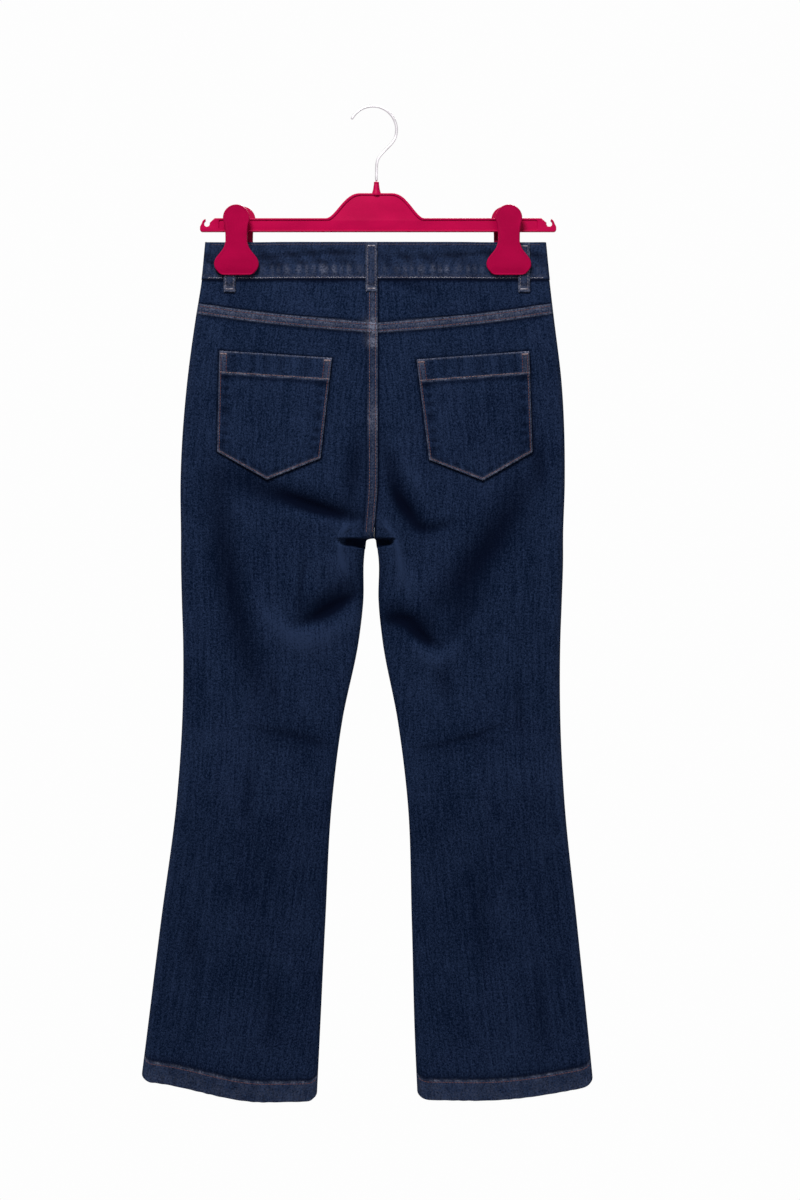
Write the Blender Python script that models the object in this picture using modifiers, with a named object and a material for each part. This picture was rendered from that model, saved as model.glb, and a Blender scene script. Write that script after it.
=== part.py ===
"""Flared jeans hung by the waistband from a plastic clip hanger.

The frame: the origin is the inside top of the hook, +Z is up, the back of the jeans faces -Y and
+X is the wearer's right. Sizes in the tables are millimetres, with heights measured down from the
origin, and a mesh is scaled to metres when it is made.

Each layer of cloth is a height field y(x, z) over the flat garment: a rounded fold along the side
seam and, on the legs, along the inseam, with a soft bulge between them. Every piece that lies on
a layer is made from the same field, moved out.
"""

from collections import namedtuple
import math

import bpy
import numpy as np

MM = 0.001

# Cloth, millimetres.
CLOTH = 1.2
BAND = 2.4
GAP = 0.3
FOLD_RADIUS = 6.0
CROWN = 2.0

# Heights of the garment's main lines.
WAIST_TOP = -159.0
WAIST_SEAM = -203.5
CROTCH = -508.5
CENTRE_TOP = 2.4
CENTRE_CROTCH = -1.6
CROTCH_RISE = 28.0
YOKE_SIDE = -231.5
YOKE_CENTRE = -255.0
YOKE_LAP = 10.5
YOKE_STEP = 3.5

# One row for each level: the side folds, the inseam folds (on the legs) and how far the back and
# the front stand out from the middle plane.
Level = namedtuple("Level", "z left_out left_in right_in right_out back front")
LEVELS = (
    Level(-159.0, -200.5, 2.4, 2.4, 201.0, 8.5, 7.5),
    Level(-204.0, -205.0, 2.4, 2.4, 205.5, 10.0, 8.5),
    Level(-251.0, -212.5, 2.4, 2.4, 211.0, 15.0, 11.0),
    Level(-322.0, -222.0, 2.4, 2.4, 219.5, 20.0, 13.0),
    Level(-440.0, -230.0, 0.4, 0.4, 223.5, 22.5, 14.0),
    Level(-508.5, -229.5, -11.0, 0.8, 221.5, 20.0, 15.0),
    Level(-534.0, -229.5, -13.6, 3.8, 221.5, 19.0, 15.0),
    Level(-581.0, -228.5, -14.2, 3.6, 220.0, 18.0, 15.0),
    Level(-628.0, -227.0, -19.5, 8.2, 218.3, 17.0, 15.0),
    Level(-723.0, -228.0, -39.0, 26.2, 218.3, 15.0, 14.0),
    Level(-817.0, -234.5, -51.0, 37.8, 223.0, 14.5, 13.5),
    Level(-959.0, -253.0, -59.0, 42.8, 237.5, 15.0, 14.0),
    Level(-1100.0, -270.5, -65.8, 46.6, 252.0, 16.5, 15.5),
    Level(-1175.0, -280.0, -69.5, 50.0, 259.3, 17.5, 16.5),
)

# The hem line of each leg: its height at the outseam, how far it falls towards the inseam, the
# share of the width over which it falls, and whether it eases in (1) or falls at once (0).
Hem = namedtuple("Hem", "outer drop reach ease")
HEMS = {"left": Hem(-1149.5, 23.0, 0.72, 1.0), "right": Hem(-1154.0, 16.5, 0.70, 0.0)}
HEM_CORNER = 10.0
HEM_CORNER_REACH = 14.0

# The clips pinch the waistband flat here.
CLIP_X = {"left": -163.7, "right": 157.2}
PINCH_HALF_WIDTH = 43.0
PINCH_DEPTH = 2.3
PINCH_FADE = 85.0

# The largest folds, as arcs from a start to an end; bow is how far the arc's middle stands to the
# left of its chord, and a negative depth is a ridge.
Fold = namedtuple("Fold", "side x0 z0 x1 z1 bow half_width depth")
FOLDS = (
    Fold("back", -176.0, -437.0, -30.0, -480.0, -6.0, 15.0, 5.0),
    Fold("back", 6.0, -392.0, 62.0, -502.0, -10.0, 15.0, 5.0),
    Fold("back", -92.0, -606.0, -22.0, -556.0, -7.0, 16.0, 5.0),
    Fold("back", 6.0, -594.0, 74.0, -626.0, 4.0, 16.0, 5.0),
    Fold("back", -186.0, -440.0, -136.0, -690.0, 8.0, 24.0, 4.0),
    Fold("back", 190.0, -430.0, 76.0, -606.0, 10.0, 24.0, 4.0),
    Fold("back", 50.0, -756.0, 158.0, -724.0, -5.0, 20.0, 3.0),
    Fold("back", -150.0, -733.0, -46.0, -757.0, 4.0, 24.0, 2.5),
    Fold("front", -12.0, -470.0, -150.0, -420.0, 8.0, 20.0, 4.0),
    Fold("front", 4.0, -468.0, 140.0, -425.0, -8.0, 20.0, 4.0),
    Fold("front", -60.0, -760.0, -180.0, -735.0, 5.0, 24.0, 3.0),
    Fold("front", 60.0, -745.0, 165.0, -760.0, 5.0, 24.0, 3.0),
)

# Back pockets: the middle of the top edge and the tilt, in degrees, seen from behind.
Pocket = namedtuple("Pocket", "x z tilt")
POCKETS = {"left": Pocket(-117.3, -292.4, -3.9), "right": Pocket(114.9, -293.6, 4.5)}
POCKET_TOP_HALF = 66.5
POCKET_BOTTOM_HALF = 61.0
POCKET_SIDE = 118.5
POCKET_POINT = 29.0

# Belt loops: middle line and side of the garment.
Loop = namedtuple("Loop", "x side")
LOOPS = {
    "loop_centre_back": Loop(-4.6, "back"),
    "loop_back_left": Loop(-172.0, "back"),
    "loop_back_right": Loop(175.3, "back"),
    "loop_front_left": Loop(-92.0, "front"),
    "loop_front_right": Loop(88.0, "front"),
}
LOOP_WIDTH = 13.0
LOOP_THICKNESS = 1.6
LOOP_TOP = -160.5
LOOP_BOTTOM = -217.5

# Front closing: fly, zip and button.
FLY_TOP = -206.0
FLY_BOTTOM = -348.0
FLY_WIDTH = 38.0
ZIP_WIDTH = 26.0
ZIP_THICKNESS = 2.2
SLIDER_WIDTH = 8.0
SLIDER_LENGTH = 12.0
WAIST_LAP = 22.0
BUTTON_RADIUS = 8.5
BUTTON_HEIGHT = 3.2

# Hanger.
BAR_LEFT = -206.9
BAR_RIGHT = 213.3
BAR_TOP = -130.7
BAR_BOTTOM = -146.9
BAR_THICKNESS = 8.0
HUMP_BASE = (-58.5, 58.0)
HUMP_TOP = (-18.0, 19.5)
HUMP_SKEW = 2.0
HUMP_HEIGHT = 29.5
SPIGOT_X = 1.2
SPIGOT_TOP = -87.5
SPIGOT_BASE_RADIUS = 4.8
SPIGOT_TOP_RADIUS = 3.0
HOOK_RADIUS = 1.7
HOOK_ARC = 28.0
HOOK_CENTRE = (-3.1, -26.3)

# Clip jaws: a round head above the bar, then the half-width at each height down to the foot.
JAW_TOP = -115.0
JAW_HEAD = 15.7
JAW_HEAD_END = -25.0
Width = namedtuple("Width", "z half")
JAW_SIDE = (
    Width(-142.0, 13.5), Width(-152.0, 12.9), Width(-161.0, 13.4), Width(-167.0, 15.8),
    Width(-172.5, 20.0), Width(-178.0, 24.3), Width(-184.0, 26.3), Width(-189.0, 25.6),
    Width(-193.5, 22.6), Width(-196.8, 18.6), Width(-198.0, 14.8),
)
JAW_THICKNESS = 3.6
JAW_SPLAY = 6.0
JAW_GRIP = {"back": 5.4, "front": 3.9}
REAR_JAW_SHIFT = {"left": 6.0, "right": -4.4}

INDIGO = (0.012, 0.017, 0.038, 1.0)
CRIMSON = (0.42, 0.004, 0.055, 1.0)
STEEL = (0.72, 0.72, 0.73, 1.0)
COPPER = (0.45, 0.22, 0.10, 1.0)

COLLECTION = "flared_jeans"


# ---------------------------------------------------------------- the shape of the cloth


def level(name, z):
    """A column of LEVELS at height z, read along a smooth curve through its rows."""
    heights = np.array([row.z for row in LEVELS])[::-1]
    values = np.array([getattr(row, name) for row in LEVELS])[::-1]
    slopes = np.gradient(values, heights)
    z = np.clip(z, heights[0], heights[-1])
    k = np.clip(np.searchsorted(heights, z) - 1, 0, len(heights) - 2)
    span = heights[k + 1] - heights[k]
    u = (z - heights[k]) / span
    start = (1 + 2 * u) * (1 - u) ** 2 * values[k] + u * (1 - u) ** 2 * span * slopes[k]
    end = u**2 * (3 - 2 * u) * values[k + 1] - u**2 * (1 - u) * span * slopes[k + 1]
    return start + end


def smooth_step(u):
    u = np.clip(u, 0.0, 1.0)
    return u * u * (3 - 2 * u)


def quarter(u):
    """A quarter circle: 0 at u = 0, rising upright, and 1 from u = 1."""
    return np.sqrt(1 - (1 - np.clip(u, 0.0, 1.0)) ** 2)


def centre_line(z):
    """The x of the centre seam."""
    return CENTRE_TOP + (CENTRE_CROTCH - CENTRE_TOP) * smooth_step((z + 440.0) / (CROTCH + 440.0))


def edges(leg, z):
    """The x of the side fold and of the centre seam or inseam fold."""
    outer = level(f"{leg}_out", z)
    centre = centre_line(z)
    inseam = level(f"{leg}_in", np.minimum(z, CROTCH))
    below = quarter((CROTCH - z) / 3.0)
    return outer, np.where(z >= CROTCH, centre, centre + (inseam - centre) * below)


def legness(z):
    """0 where the trunk is one tube, 1 on the legs, rounding the crotch like the end of a fold."""
    into = np.clip((CROTCH + CROTCH_RISE - z) / CROTCH_RISE, 0.0, 1.0)
    return 1 - np.sqrt(1 - into**2)


def leg_share(z):
    """0 on the trunk and 1 on the legs, changing slowly: it moves the bulge from seat to leg."""
    return smooth_step((CROTCH + 75.0 - z) / 190.0)


def pinch(x, z):
    """How far the clips press the waistband flat, 0 to 1."""
    down = 1 - smooth_step((WAIST_SEAM - z) / PINCH_FADE)
    across = sum(np.exp(-(((x - at) / PINCH_HALF_WIDTH) ** 4)) for at in CLIP_X.values())
    return down * np.minimum(across, 1.0)


def folds(side, x, z):
    """How far the folds press this layer towards the middle plane."""
    total = np.zeros(np.broadcast(x, z).shape)
    for fold in FOLDS:
        if fold.side != side:
            continue
        along = np.array((fold.x1 - fold.x0, fold.z1 - fold.z0))
        length = np.hypot(*along)
        ux, uz = along / length
        s = ((x - fold.x0) * ux + (z - fold.z0) * uz) / length
        off = -(x - fold.x0) * uz + (z - fold.z0) * ux
        inside = np.clip(s, 0.0, 1.0)
        off = off - 4 * fold.bow * inside * (1 - inside)
        past = (s - inside) * length
        near = np.exp(-(off**2 + past**2) / fold.half_width**2)
        total = total + fold.depth * near * (0.25 + 0.75 * np.sin(math.pi * inside))
    return total


def depth(leg, side, x, z, from_outer, from_inner):
    """How far the outside of one layer stands from the middle plane."""
    width = from_outer + from_inner
    share = from_outer / width
    most = level(side, z)
    slow = leg_share(z)
    bulge = (1 - slow) * np.sin(0.5 * math.pi * share) + slow * np.sin(math.pi * share)
    b = legness(z)
    near_crotch = 1 - smooth_step((CROTCH - z) / 120.0)
    inner_radius = FOLD_RADIUS + (most - FOLD_RADIUS) * near_crotch
    inner = 1 - b + b * quarter(from_inner / inner_radius)
    full = (FOLD_RADIUS * quarter(from_outer / FOLD_RADIUS) + (most - FOLD_RADIUS) * bulge) * inner
    # Folds fade out at the side fold and the inseam fold.
    free = smooth_step(from_outer / 30.0) * (1 - b + b * smooth_step(from_inner / 18.0))
    full = full - folds(side, x, z) * free
    p = pinch(x, z)
    return full * (1 - p) + np.minimum(full, PINCH_DEPTH) * p


def layer_point(leg, side, x, z):
    """y of the outside of a layer at a place on the flat garment."""
    outer, inner = edges(leg, z)
    y = depth(leg, side, x, z, np.abs(x - outer), np.abs(inner - x))
    return -y if side == "back" else y


def over(side, x, z, out):
    """y of the surface that stands `out` off the whole back or front."""
    y = np.where(
        x < centre_line(z), layer_point("left", side, x, z), layer_point("right", side, x, z)
    )
    return y - out if side == "back" else y + out


def strip_columns(width_along):
    """Distances along the cloth from the side fold: close at the folds, even between them."""
    near = np.array((GAP / 2, CROWN, 5.4, FOLD_RADIUS * math.pi / 2))
    even = np.linspace(near[-1], width_along - near[-1], 9)[1:-1]
    return np.concatenate((near, even, width_along - near[::-1]))


def round_fold(along):
    """How far into the cloth's width a place lies that is `along` the cloth from a fold's crown."""
    return np.where(along <= CROWN, 0.0, FOLD_RADIUS * (1 - np.cos(along / FOLD_RADIUS)))


def layer_row(leg, side, z_of):
    """One row of a leg or yoke panel: z_of gives the height for a share of the width, 0 to 1."""
    middle = z_of(np.array(0.5))
    outer, inner = edges(leg, middle)
    b = float(legness(middle))
    shorter = FOLD_RADIUS * (math.pi / 2 - 1)
    along = strip_columns(abs(inner - outer) + shorter * (1 + b))
    back_along = along[-1] + GAP / 2 - along
    turn = FOLD_RADIUS * math.pi / 2
    from_outer = np.where(along < turn, round_fold(along), along - shorter)
    bent = b * round_fold(back_along) + (1 - b) * back_along
    from_inner = np.where(back_along < turn, bent, back_along - shorter * b)
    total = from_outer[len(along) // 2] + from_inner[len(along) // 2]
    half = np.arange(len(along)) < len(along) // 2
    from_outer = np.where(half, from_outer, total - from_inner)
    share = np.clip(from_outer / total, 0.0, 1.0)
    z = z_of(share)
    outer, inner = edges(leg, z)
    x = outer + (inner - outer) * share
    width = np.abs(inner - outer)
    y = depth(leg, side, x, z, width * share, width * (1 - share))
    # The folds' crowns: the first column lies at the seam and the second just round it.
    near_side = GAP / 2
    near_inseam = GAP / 2 + 0.9 * np.exp(-(((z[-1] - CROTCH) / 14.0) ** 2))
    y[0] = near_side
    y[1] = CROWN
    if b > 0.99:
        y[-1] = near_inseam
        y[-2] = max(CROWN, near_inseam + 0.4)
    if b < 0.99:
        towards = -1 if leg == "left" else 1
        x[-1] = x[-1] + towards * GAP / 2
    y = -y if side == "back" else y
    return np.stack((x, y, z), axis=1)


def hem_height(leg, share):
    """The hem line: it falls towards the inseam and turns up at both folds."""
    hem = HEMS[leg]
    width = 205.0
    part = np.clip(share / hem.reach, 0.0, 1.0)
    fall = hem.ease * smooth_step(part) + (1 - hem.ease) * np.sin(0.5 * math.pi * part)
    near = np.minimum(share, 1 - share) * width
    corner = HEM_CORNER * (1 - quarter(near / HEM_CORNER_REACH))
    return hem.outer - hem.drop * fall + corner


def yoke_height(share):
    """The seam between the yoke and the leg, from the side (0) to the centre (1)."""
    fall = share + 0.10 * np.sin(math.pi * share)
    return YOKE_SIDE + (YOKE_CENTRE - YOKE_SIDE) * fall


# ---------------------------------------------------------------- making objects


def clear_scene():
    for item in list(bpy.data.objects):
        bpy.data.objects.remove(item, do_unlink=True)


def make_collection(name):
    found = bpy.data.collections.new(name)
    bpy.context.scene.collection.children.link(found)
    return found


def make_material(name, colour, roughness, metallic=0.0):
    material = bpy.data.materials.new(name)
    material.use_nodes = True
    shader = material.node_tree.nodes["Principled BSDF"]
    shader.inputs["Base Color"].default_value = colour
    shader.inputs["Roughness"].default_value = roughness
    shader.inputs["Metallic"].default_value = metallic
    material.diffuse_color = colour
    return material


def add_object(name, data, collection, material):
    item = bpy.data.objects.new(name, data)
    collection.objects.link(item)
    data.materials.append(material)
    return item


def grid_faces(rows, columns, turned):
    """Four-sided faces of a grid of points, listed row by row."""
    faces = []
    for r in range(rows - 1):
        for c in range(columns - 1):
            corner = r * columns + c
            face = (corner, corner + columns, corner + columns + 1, corner + 1)
            faces.append(face[::-1] if turned else face)
    return faces


def cloth_sheet(name, rows, thickness, collection, material, turned):
    """A wall of cloth: the grid is its outside, and the wall grows inwards from it."""
    points = np.concatenate(rows) * MM
    mesh = bpy.data.meshes.new(name)
    mesh.from_pydata(points.tolist(), [], grid_faces(len(rows), len(rows[0]), turned))
    mesh.shade_smooth()
    item = add_object(name, mesh, collection, material)
    wall = item.modifiers.new("Wall", "SOLIDIFY")
    wall.thickness = thickness * MM
    wall.offset = -1.0
    wall.use_even_offset = True
    return item


def faces_turned(leg, side):
    return (leg == "left") != (side == "back")


# ---------------------------------------------------------------- the garment


def raised(row, leg):
    """A row of a back panel, lifted clear of the cloth that it laps over."""
    step = CLOTH + 2 * GAP
    row[2:, 1] -= step
    row[:2, 0] += step if leg == "right" else -step
    row[1, 1] -= step / 2
    return row


def leg_panel(leg, side, collection, material):
    """Seat and leg in one piece, from the yoke seam (or the waistband) to the hem."""
    rows = []
    if side == "back":
        for below in (0.0, YOKE_LAP):
            rows.append(raised(layer_row(leg, side, lambda s: yoke_height(s) - below), leg))
        top = lambda share: yoke_height(share) - YOKE_LAP - YOKE_STEP
    else:
        top = lambda share: np.full(np.shape(share), WAIST_SEAM - GAP)
    trunk = (0.0, 0.09, 0.20, 0.34, 0.48, 0.62, 0.76, 0.87, 0.95, 0.985, 1.0)
    drops = (2.5, 9.0, 22.0, 44.0, 72.0, 102.0, 136.0, 180.0, 215.0, 245.0, 285.0, 340.0)
    lower = (0.64, 0.76, 0.88, 0.96, 1.0)
    for part in trunk:
        rows.append(layer_row(leg, side, lambda s: top(s) * (1 - part) + CROTCH * part))
    for drop in drops:
        rows.append(layer_row(leg, side, lambda s: np.full(np.shape(s), CROTCH - drop)))
    for part in lower:
        rows.append(
            layer_row(leg, side, lambda s: CROTCH * (1 - part) + hem_height(leg, s) * part)
        )
    turned = faces_turned(leg, side)
    return cloth_sheet(f"{side}_leg_{leg}", rows, CLOTH, collection, material, turned)


def yoke_panel(leg, collection, material):
    """The yoke, its lower edge under the lap of the leg panel."""
    rows = []
    for part in (0.0, 0.35, 0.7, 1.0):
        rows.append(
            layer_row(
                leg, "back",
                lambda s: (WAIST_SEAM - GAP) * (1 - part) + (yoke_height(s) - YOKE_LAP + 1) * part,
            )
        )
    turned = faces_turned(leg, "back")
    return cloth_sheet(f"back_yoke_{leg}", rows, CLOTH, collection, material, turned)


def back_pocket(leg, collection, material):
    """A patch pocket with a pointed bottom, lying on the leg panel."""
    place = POCKETS[leg]
    tilt = math.radians(place.tilt)
    rows = []
    for v in np.linspace(0.0, 1.0, 7):
        u = np.linspace(-1.0, 1.0, 9)
        across = u * (POCKET_TOP_HALF + (POCKET_BOTTOM_HALF - POCKET_TOP_HALF) * v)
        down = v * (POCKET_SIDE + POCKET_POINT * (1 - np.abs(u)))
        x = place.x + across * math.cos(tilt) + down * math.sin(tilt)
        z = place.z + across * math.sin(tilt) - down * math.cos(tilt)
        y = over("back", x, z, CLOTH + 3 * GAP)
        rows.append(np.stack((x, y, z), axis=1))
    return cloth_sheet(f"back_pocket_{leg}", rows, CLOTH, collection, material, False)


def waistband(collection, material):
    """One folded strip round the waist, its ends lapped at the centre front."""
    heights = np.linspace(WAIST_TOP, WAIST_SEAM + GAP, 3)
    proud = 0.5
    rows = []
    for z in heights:
        left, right = float(level("left_out", z)), float(level("right_out", z))
        centre = CENTRE_TOP
        turn = np.radians((10.0, 35.0, 62.0, 90.0))
        radius = FOLD_RADIUS
        back_x = np.linspace(left + radius + 8, right - radius - 8, 29)
        front_left = np.linspace(centre + WAIST_LAP, left + radius + 8, 14)
        front_right = np.linspace(right - radius - 8, centre - WAIST_LAP, 14)
        path = []
        for x in front_left:
            path.append((x, float(over("front", x, z, proud))))
        for angle in turn[::-1]:
            path.append((left + radius * (1 - math.cos(angle)) - proud, radius * math.sin(angle)))
        path.append((left - proud, 0.0))
        for angle in turn:
            path.append((left + radius * (1 - math.cos(angle)) - proud, -radius * math.sin(angle)))
        for x in back_x:
            path.append((x, float(over("back", x, z, proud))))
        for angle in turn[::-1]:
            path.append((right - radius * (1 - math.cos(angle)) + proud, -radius * math.sin(angle)))
        path.append((right + proud, 0.0))
        for angle in turn:
            path.append((right - radius * (1 - math.cos(angle)) + proud, radius * math.sin(angle)))
        for x in front_right:
            under = smooth_step((centre + WAIST_LAP + 26 - x) / 24.0)
            path.append((x, float(over("front", x, z, proud)) - under * (BAND + 2 * GAP)))
        row = np.array([(x, y, z) for x, y in path])
        rows.append(row)
    return cloth_sheet("waistband", rows, BAND, collection, material, False)


def belt_loop(name, collection, material):
    """A flat strip over the waistband, its lower end on the panel below."""
    place = LOOPS[name]
    rows = []
    for z in (LOOP_TOP, -172.0, -185.0, -197.0, -204.0, -209.0, LOOP_BOTTOM):
        x = np.linspace(place.x - LOOP_WIDTH / 2, place.x + LOOP_WIDTH / 2, 4)
        out = LOOP_THICKNESS + (0.5 + 1.5 * GAP if z > -207.0 else 2 * GAP)
        y = over(place.side, x, np.full(len(x), z), out)
        rows.append(np.stack((x, y, np.full(len(x), z)), axis=1))
    return cloth_sheet(
        name, rows, LOOP_THICKNESS, collection, material, place.side == "front"
    )


def fly_strip(name, x0, x1, inward, thickness, collection, material, top=FLY_TOP, bottom=FLY_BOTTOM):
    """A flat strip of the fly, behind the front panels."""
    rows = []
    for z in np.linspace(top, bottom, 5):
        x = np.linspace(x0, x1, 5)
        y = over("front", x, np.full(len(x), z), -inward)
        rows.append(np.stack((x, y, np.full(len(x), z)), axis=1))
    return cloth_sheet(name, rows, thickness, collection, material, True)


def cylinder(name, radius, height, centre, collection, material, bevel, along="Y"):
    """A short round piece, with its rims rounded."""
    turned = (math.pi / 2, 0.0, 0.0) if along == "Y" else (0.0, math.pi / 2, 0.0)
    bpy.ops.mesh.primitive_cylinder_add(
        vertices=18, radius=radius * MM, depth=height * MM,
        location=tuple(value * MM for value in centre), rotation=turned,
    )
    item = bpy.context.object
    item.name = name
    item.data.name = name
    for old in item.users_collection:
        old.objects.unlink(item)
    collection.objects.link(item)
    item.data.materials.append(material)
    rounded = item.modifiers.new("Rounded rims", "BEVEL")
    rounded.width = bevel * MM
    rounded.segments = 1
    rounded.limit_method = "ANGLE"
    item.data.shade_smooth()
    item.data.set_sharp_from_angle(angle=math.radians(40))
    return item


def front_closing(collection, denim, metal):
    """Fly facing, closed zip with its slider at the top, fly shield and the waist button."""
    centre = CENTRE_TOP
    step = CLOTH + 2 * GAP
    fly_strip("fly_facing", centre - FLY_WIDTH, centre - 1.5, step, CLOTH, collection, denim)
    zip_left = centre - 30.0
    zip_in = 2 * step
    slider_end = FLY_TOP - SLIDER_LENGTH
    fly_strip(
        "zip_tape", zip_left, zip_left + ZIP_WIDTH, zip_in, ZIP_THICKNESS, collection, metal,
        top=slider_end - GAP,
    )
    slider_left = zip_left + (ZIP_WIDTH - SLIDER_WIDTH) / 2
    fly_strip(
        "zip_slider", slider_left, slider_left + SLIDER_WIDTH, zip_in, ZIP_THICKNESS, collection,
        metal, bottom=slider_end,
    )
    shield_in = zip_in + ZIP_THICKNESS + 2 * GAP
    fly_strip(
        "fly_shield", centre - FLY_WIDTH, centre + 2.0, shield_in, CLOTH, collection, denim
    )
    x = centre
    z = 0.5 * (WAIST_TOP + WAIST_SEAM)
    y = float(over("front", np.array(x), np.array(z), 0.5)) + GAP + BUTTON_HEIGHT / 2
    cylinder(
        "waist_button", BUTTON_RADIUS, BUTTON_HEIGHT, (x, y, z), collection, metal, 0.8
    )


# ---------------------------------------------------------------- the hanger


def flat_plate(name, outline, thickness, y, collection, material, bevel):
    """A moulded plate: an outline in x and z, extruded along y, with rounded edges."""
    curve = bpy.data.curves.new(name, "CURVE")
    curve.dimensions = "2D"
    curve.fill_mode = "BOTH"
    curve.extrude = thickness * MM / 2
    spline = curve.splines.new("POLY")
    spline.points.add(len(outline) - 1)
    for point, (px, pz) in zip(spline.points, outline):
        point.co = (px * MM, pz * MM, 0.0, 1.0)
    spline.use_cyclic_u = True
    source = bpy.data.objects.new(name + "_outline", curve)
    collection.objects.link(source)
    source.rotation_euler = (math.pi / 2, 0.0, 0.0)
    source.location = (0.0, y * MM, 0.0)
    bpy.context.view_layer.update()
    evaluated = source.evaluated_get(bpy.context.evaluated_depsgraph_get())
    mesh = bpy.data.meshes.new_from_object(evaluated)
    mesh.transform(source.matrix_world)
    bpy.data.objects.remove(source)
    mesh.name = name
    item = add_object(name, mesh, collection, material)
    weld = item.modifiers.new("Weld", "WELD")
    weld.merge_threshold = 0.00001
    rounded = item.modifiers.new("Rounded edges", "BEVEL")
    rounded.width = bevel * MM
    rounded.segments = 1
    rounded.limit_method = "ANGLE"
    rounded.angle_limit = math.radians(60)
    mesh.shade_smooth()
    mesh.set_sharp_from_angle(angle=math.radians(35))
    return item


def arc(centre, radius, start, end, steps):
    angles = np.radians(np.linspace(start, end, steps))
    return [(centre[0] + radius * math.cos(a), centre[1] + radius * math.sin(a)) for a in angles]


def hump_side(base_x, top_x, steps):
    """The S-shaped shoulder of the hump, from the bar up to its flat top, fuller at the top."""
    points = []
    for u in np.linspace(0.0, 1.0, steps):
        x = base_x + (top_x - base_x) * u
        rise = float(smooth_step(u)) + HUMP_SKEW * (u * (1 - u)) ** 2
        points.append((x, BAR_TOP + HUMP_HEIGHT * rise))
    return points


def end_notch(end_x, towards):
    """The strap notch near one end: a ramp down, a round seat and a curled tip."""
    seat = (end_x + towards * 9.4, BAR_TOP - 5.6)
    ramp = (seat[0] + towards * 8.0, BAR_TOP)
    radius = 3.1
    start, end = (0.0, -180.0) if towards > 0 else (180.0, 360.0)
    bowl = arc(seat, radius, start, end, 7)
    tip = (end_x + towards * 4.4, BAR_TOP - 1.2)
    corner = (end_x, BAR_TOP - 3.4)
    return [ramp] + bowl + [tip, corner]


def hanger_bar(collection, material):
    """The moulded bar with its hump and the spigot that holds the hook."""
    right_end = end_notch(BAR_RIGHT, -1)
    left_end = end_notch(BAR_LEFT, 1)
    foot = 3.0
    outline = (
        [(BAR_LEFT, BAR_BOTTOM + foot), (BAR_LEFT + foot, BAR_BOTTOM)]
        + [(BAR_RIGHT - foot, BAR_BOTTOM), (BAR_RIGHT, BAR_BOTTOM + foot)]
        + right_end[::-1]
        + hump_side(HUMP_BASE[1], HUMP_TOP[1], 9)
        + hump_side(HUMP_BASE[0], HUMP_TOP[0], 9)[::-1]
        + left_end
    )
    bar = flat_plate("hanger_bar", outline, BAR_THICKNESS, 0.0, collection, material, 1.0)
    bpy.ops.mesh.primitive_cone_add(
        vertices=20,
        radius1=SPIGOT_BASE_RADIUS * MM,
        radius2=SPIGOT_TOP_RADIUS * MM,
        depth=(SPIGOT_TOP - BAR_TOP - HUMP_HEIGHT + 6.0) * MM,
        location=(SPIGOT_X * MM, 0.0, (SPIGOT_TOP + BAR_TOP + HUMP_HEIGHT - 6.0) / 2 * MM),
    )
    spigot = bpy.context.object
    spigot.name = "spigot_join"
    cutters = bpy.data.collections["cutters"]
    for old in spigot.users_collection:
        old.objects.unlink(spigot)
    cutters.objects.link(spigot)
    spigot.hide_render = True
    spigot.display_type = "WIRE"
    join = bar.modifiers.new("Spigot", "BOOLEAN")
    join.operation = "UNION"
    join.object = spigot
    return bar


def hanger_hook(collection, material):
    """The bent steel wire: a round bow, an easy return and a straight shank."""
    bow = arc(HOOK_CENTRE, HOOK_ARC, 154.0, -20.0, 19)
    back = [(19.4, -42.0), (13.4, -48.3), (7.4, -54.6), (3.2, -60.4), (1.6, -66.5)]
    shank = [(SPIGOT_X + 0.1, -74.0), (SPIGOT_X, SPIGOT_TOP + 2 * GAP)]
    route = bow + back + shank
    curve = bpy.data.curves.new("hanger_hook", "CURVE")
    curve.dimensions = "3D"
    curve.bevel_depth = HOOK_RADIUS * MM
    curve.bevel_resolution = 2
    curve.use_fill_caps = True
    spline = curve.splines.new("POLY")
    spline.points.add(len(route) - 1)
    for point, (px, pz) in zip(spline.points, route):
        point.co = (px * MM, 0.0, pz * MM, 1.0)
    return add_object("hanger_hook", curve, collection, material)


def clip_jaw(side, at, collection, material):
    """One bone-shaped jaw, leaning out from its gripping foot."""
    x = CLIP_X[at]
    if side == "front":
        x += REAR_JAW_SHIFT[at]
    head = arc((0.0, JAW_TOP - JAW_HEAD), JAW_HEAD, 90.0, JAW_HEAD_END, 11)
    right = head + [(row.half, row.z) for row in JAW_SIDE]
    left = [(-px, pz) for px, pz in right[1:]]
    foot = JAW_SIDE[-1].z
    outline = [(px, pz - foot) for px, pz in right + left[::-1]]
    name = f"clip_{side}_{at}"
    jaw = flat_plate(name, outline, JAW_THICKNESS, 0.0, collection, material, 0.8)
    away = -1 if side == "back" else 1
    grip = JAW_GRIP[side] + JAW_THICKNESS / 2
    jaw.location = (x * MM, away * grip * MM, foot * MM)
    jaw.rotation_euler = (-away * math.radians(JAW_SPLAY), 0.0, 0.0)
    return jaw


def clip_spring(at, collection, material):
    """The coil between the jaws, just under the bar."""
    z = BAR_BOTTOM - 4.2
    cylinder(
        f"clip_spring_{at}", 3.2, 15.0, (CLIP_X[at], 0.0, z), collection, material, 0.5, "X"
    )


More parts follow.
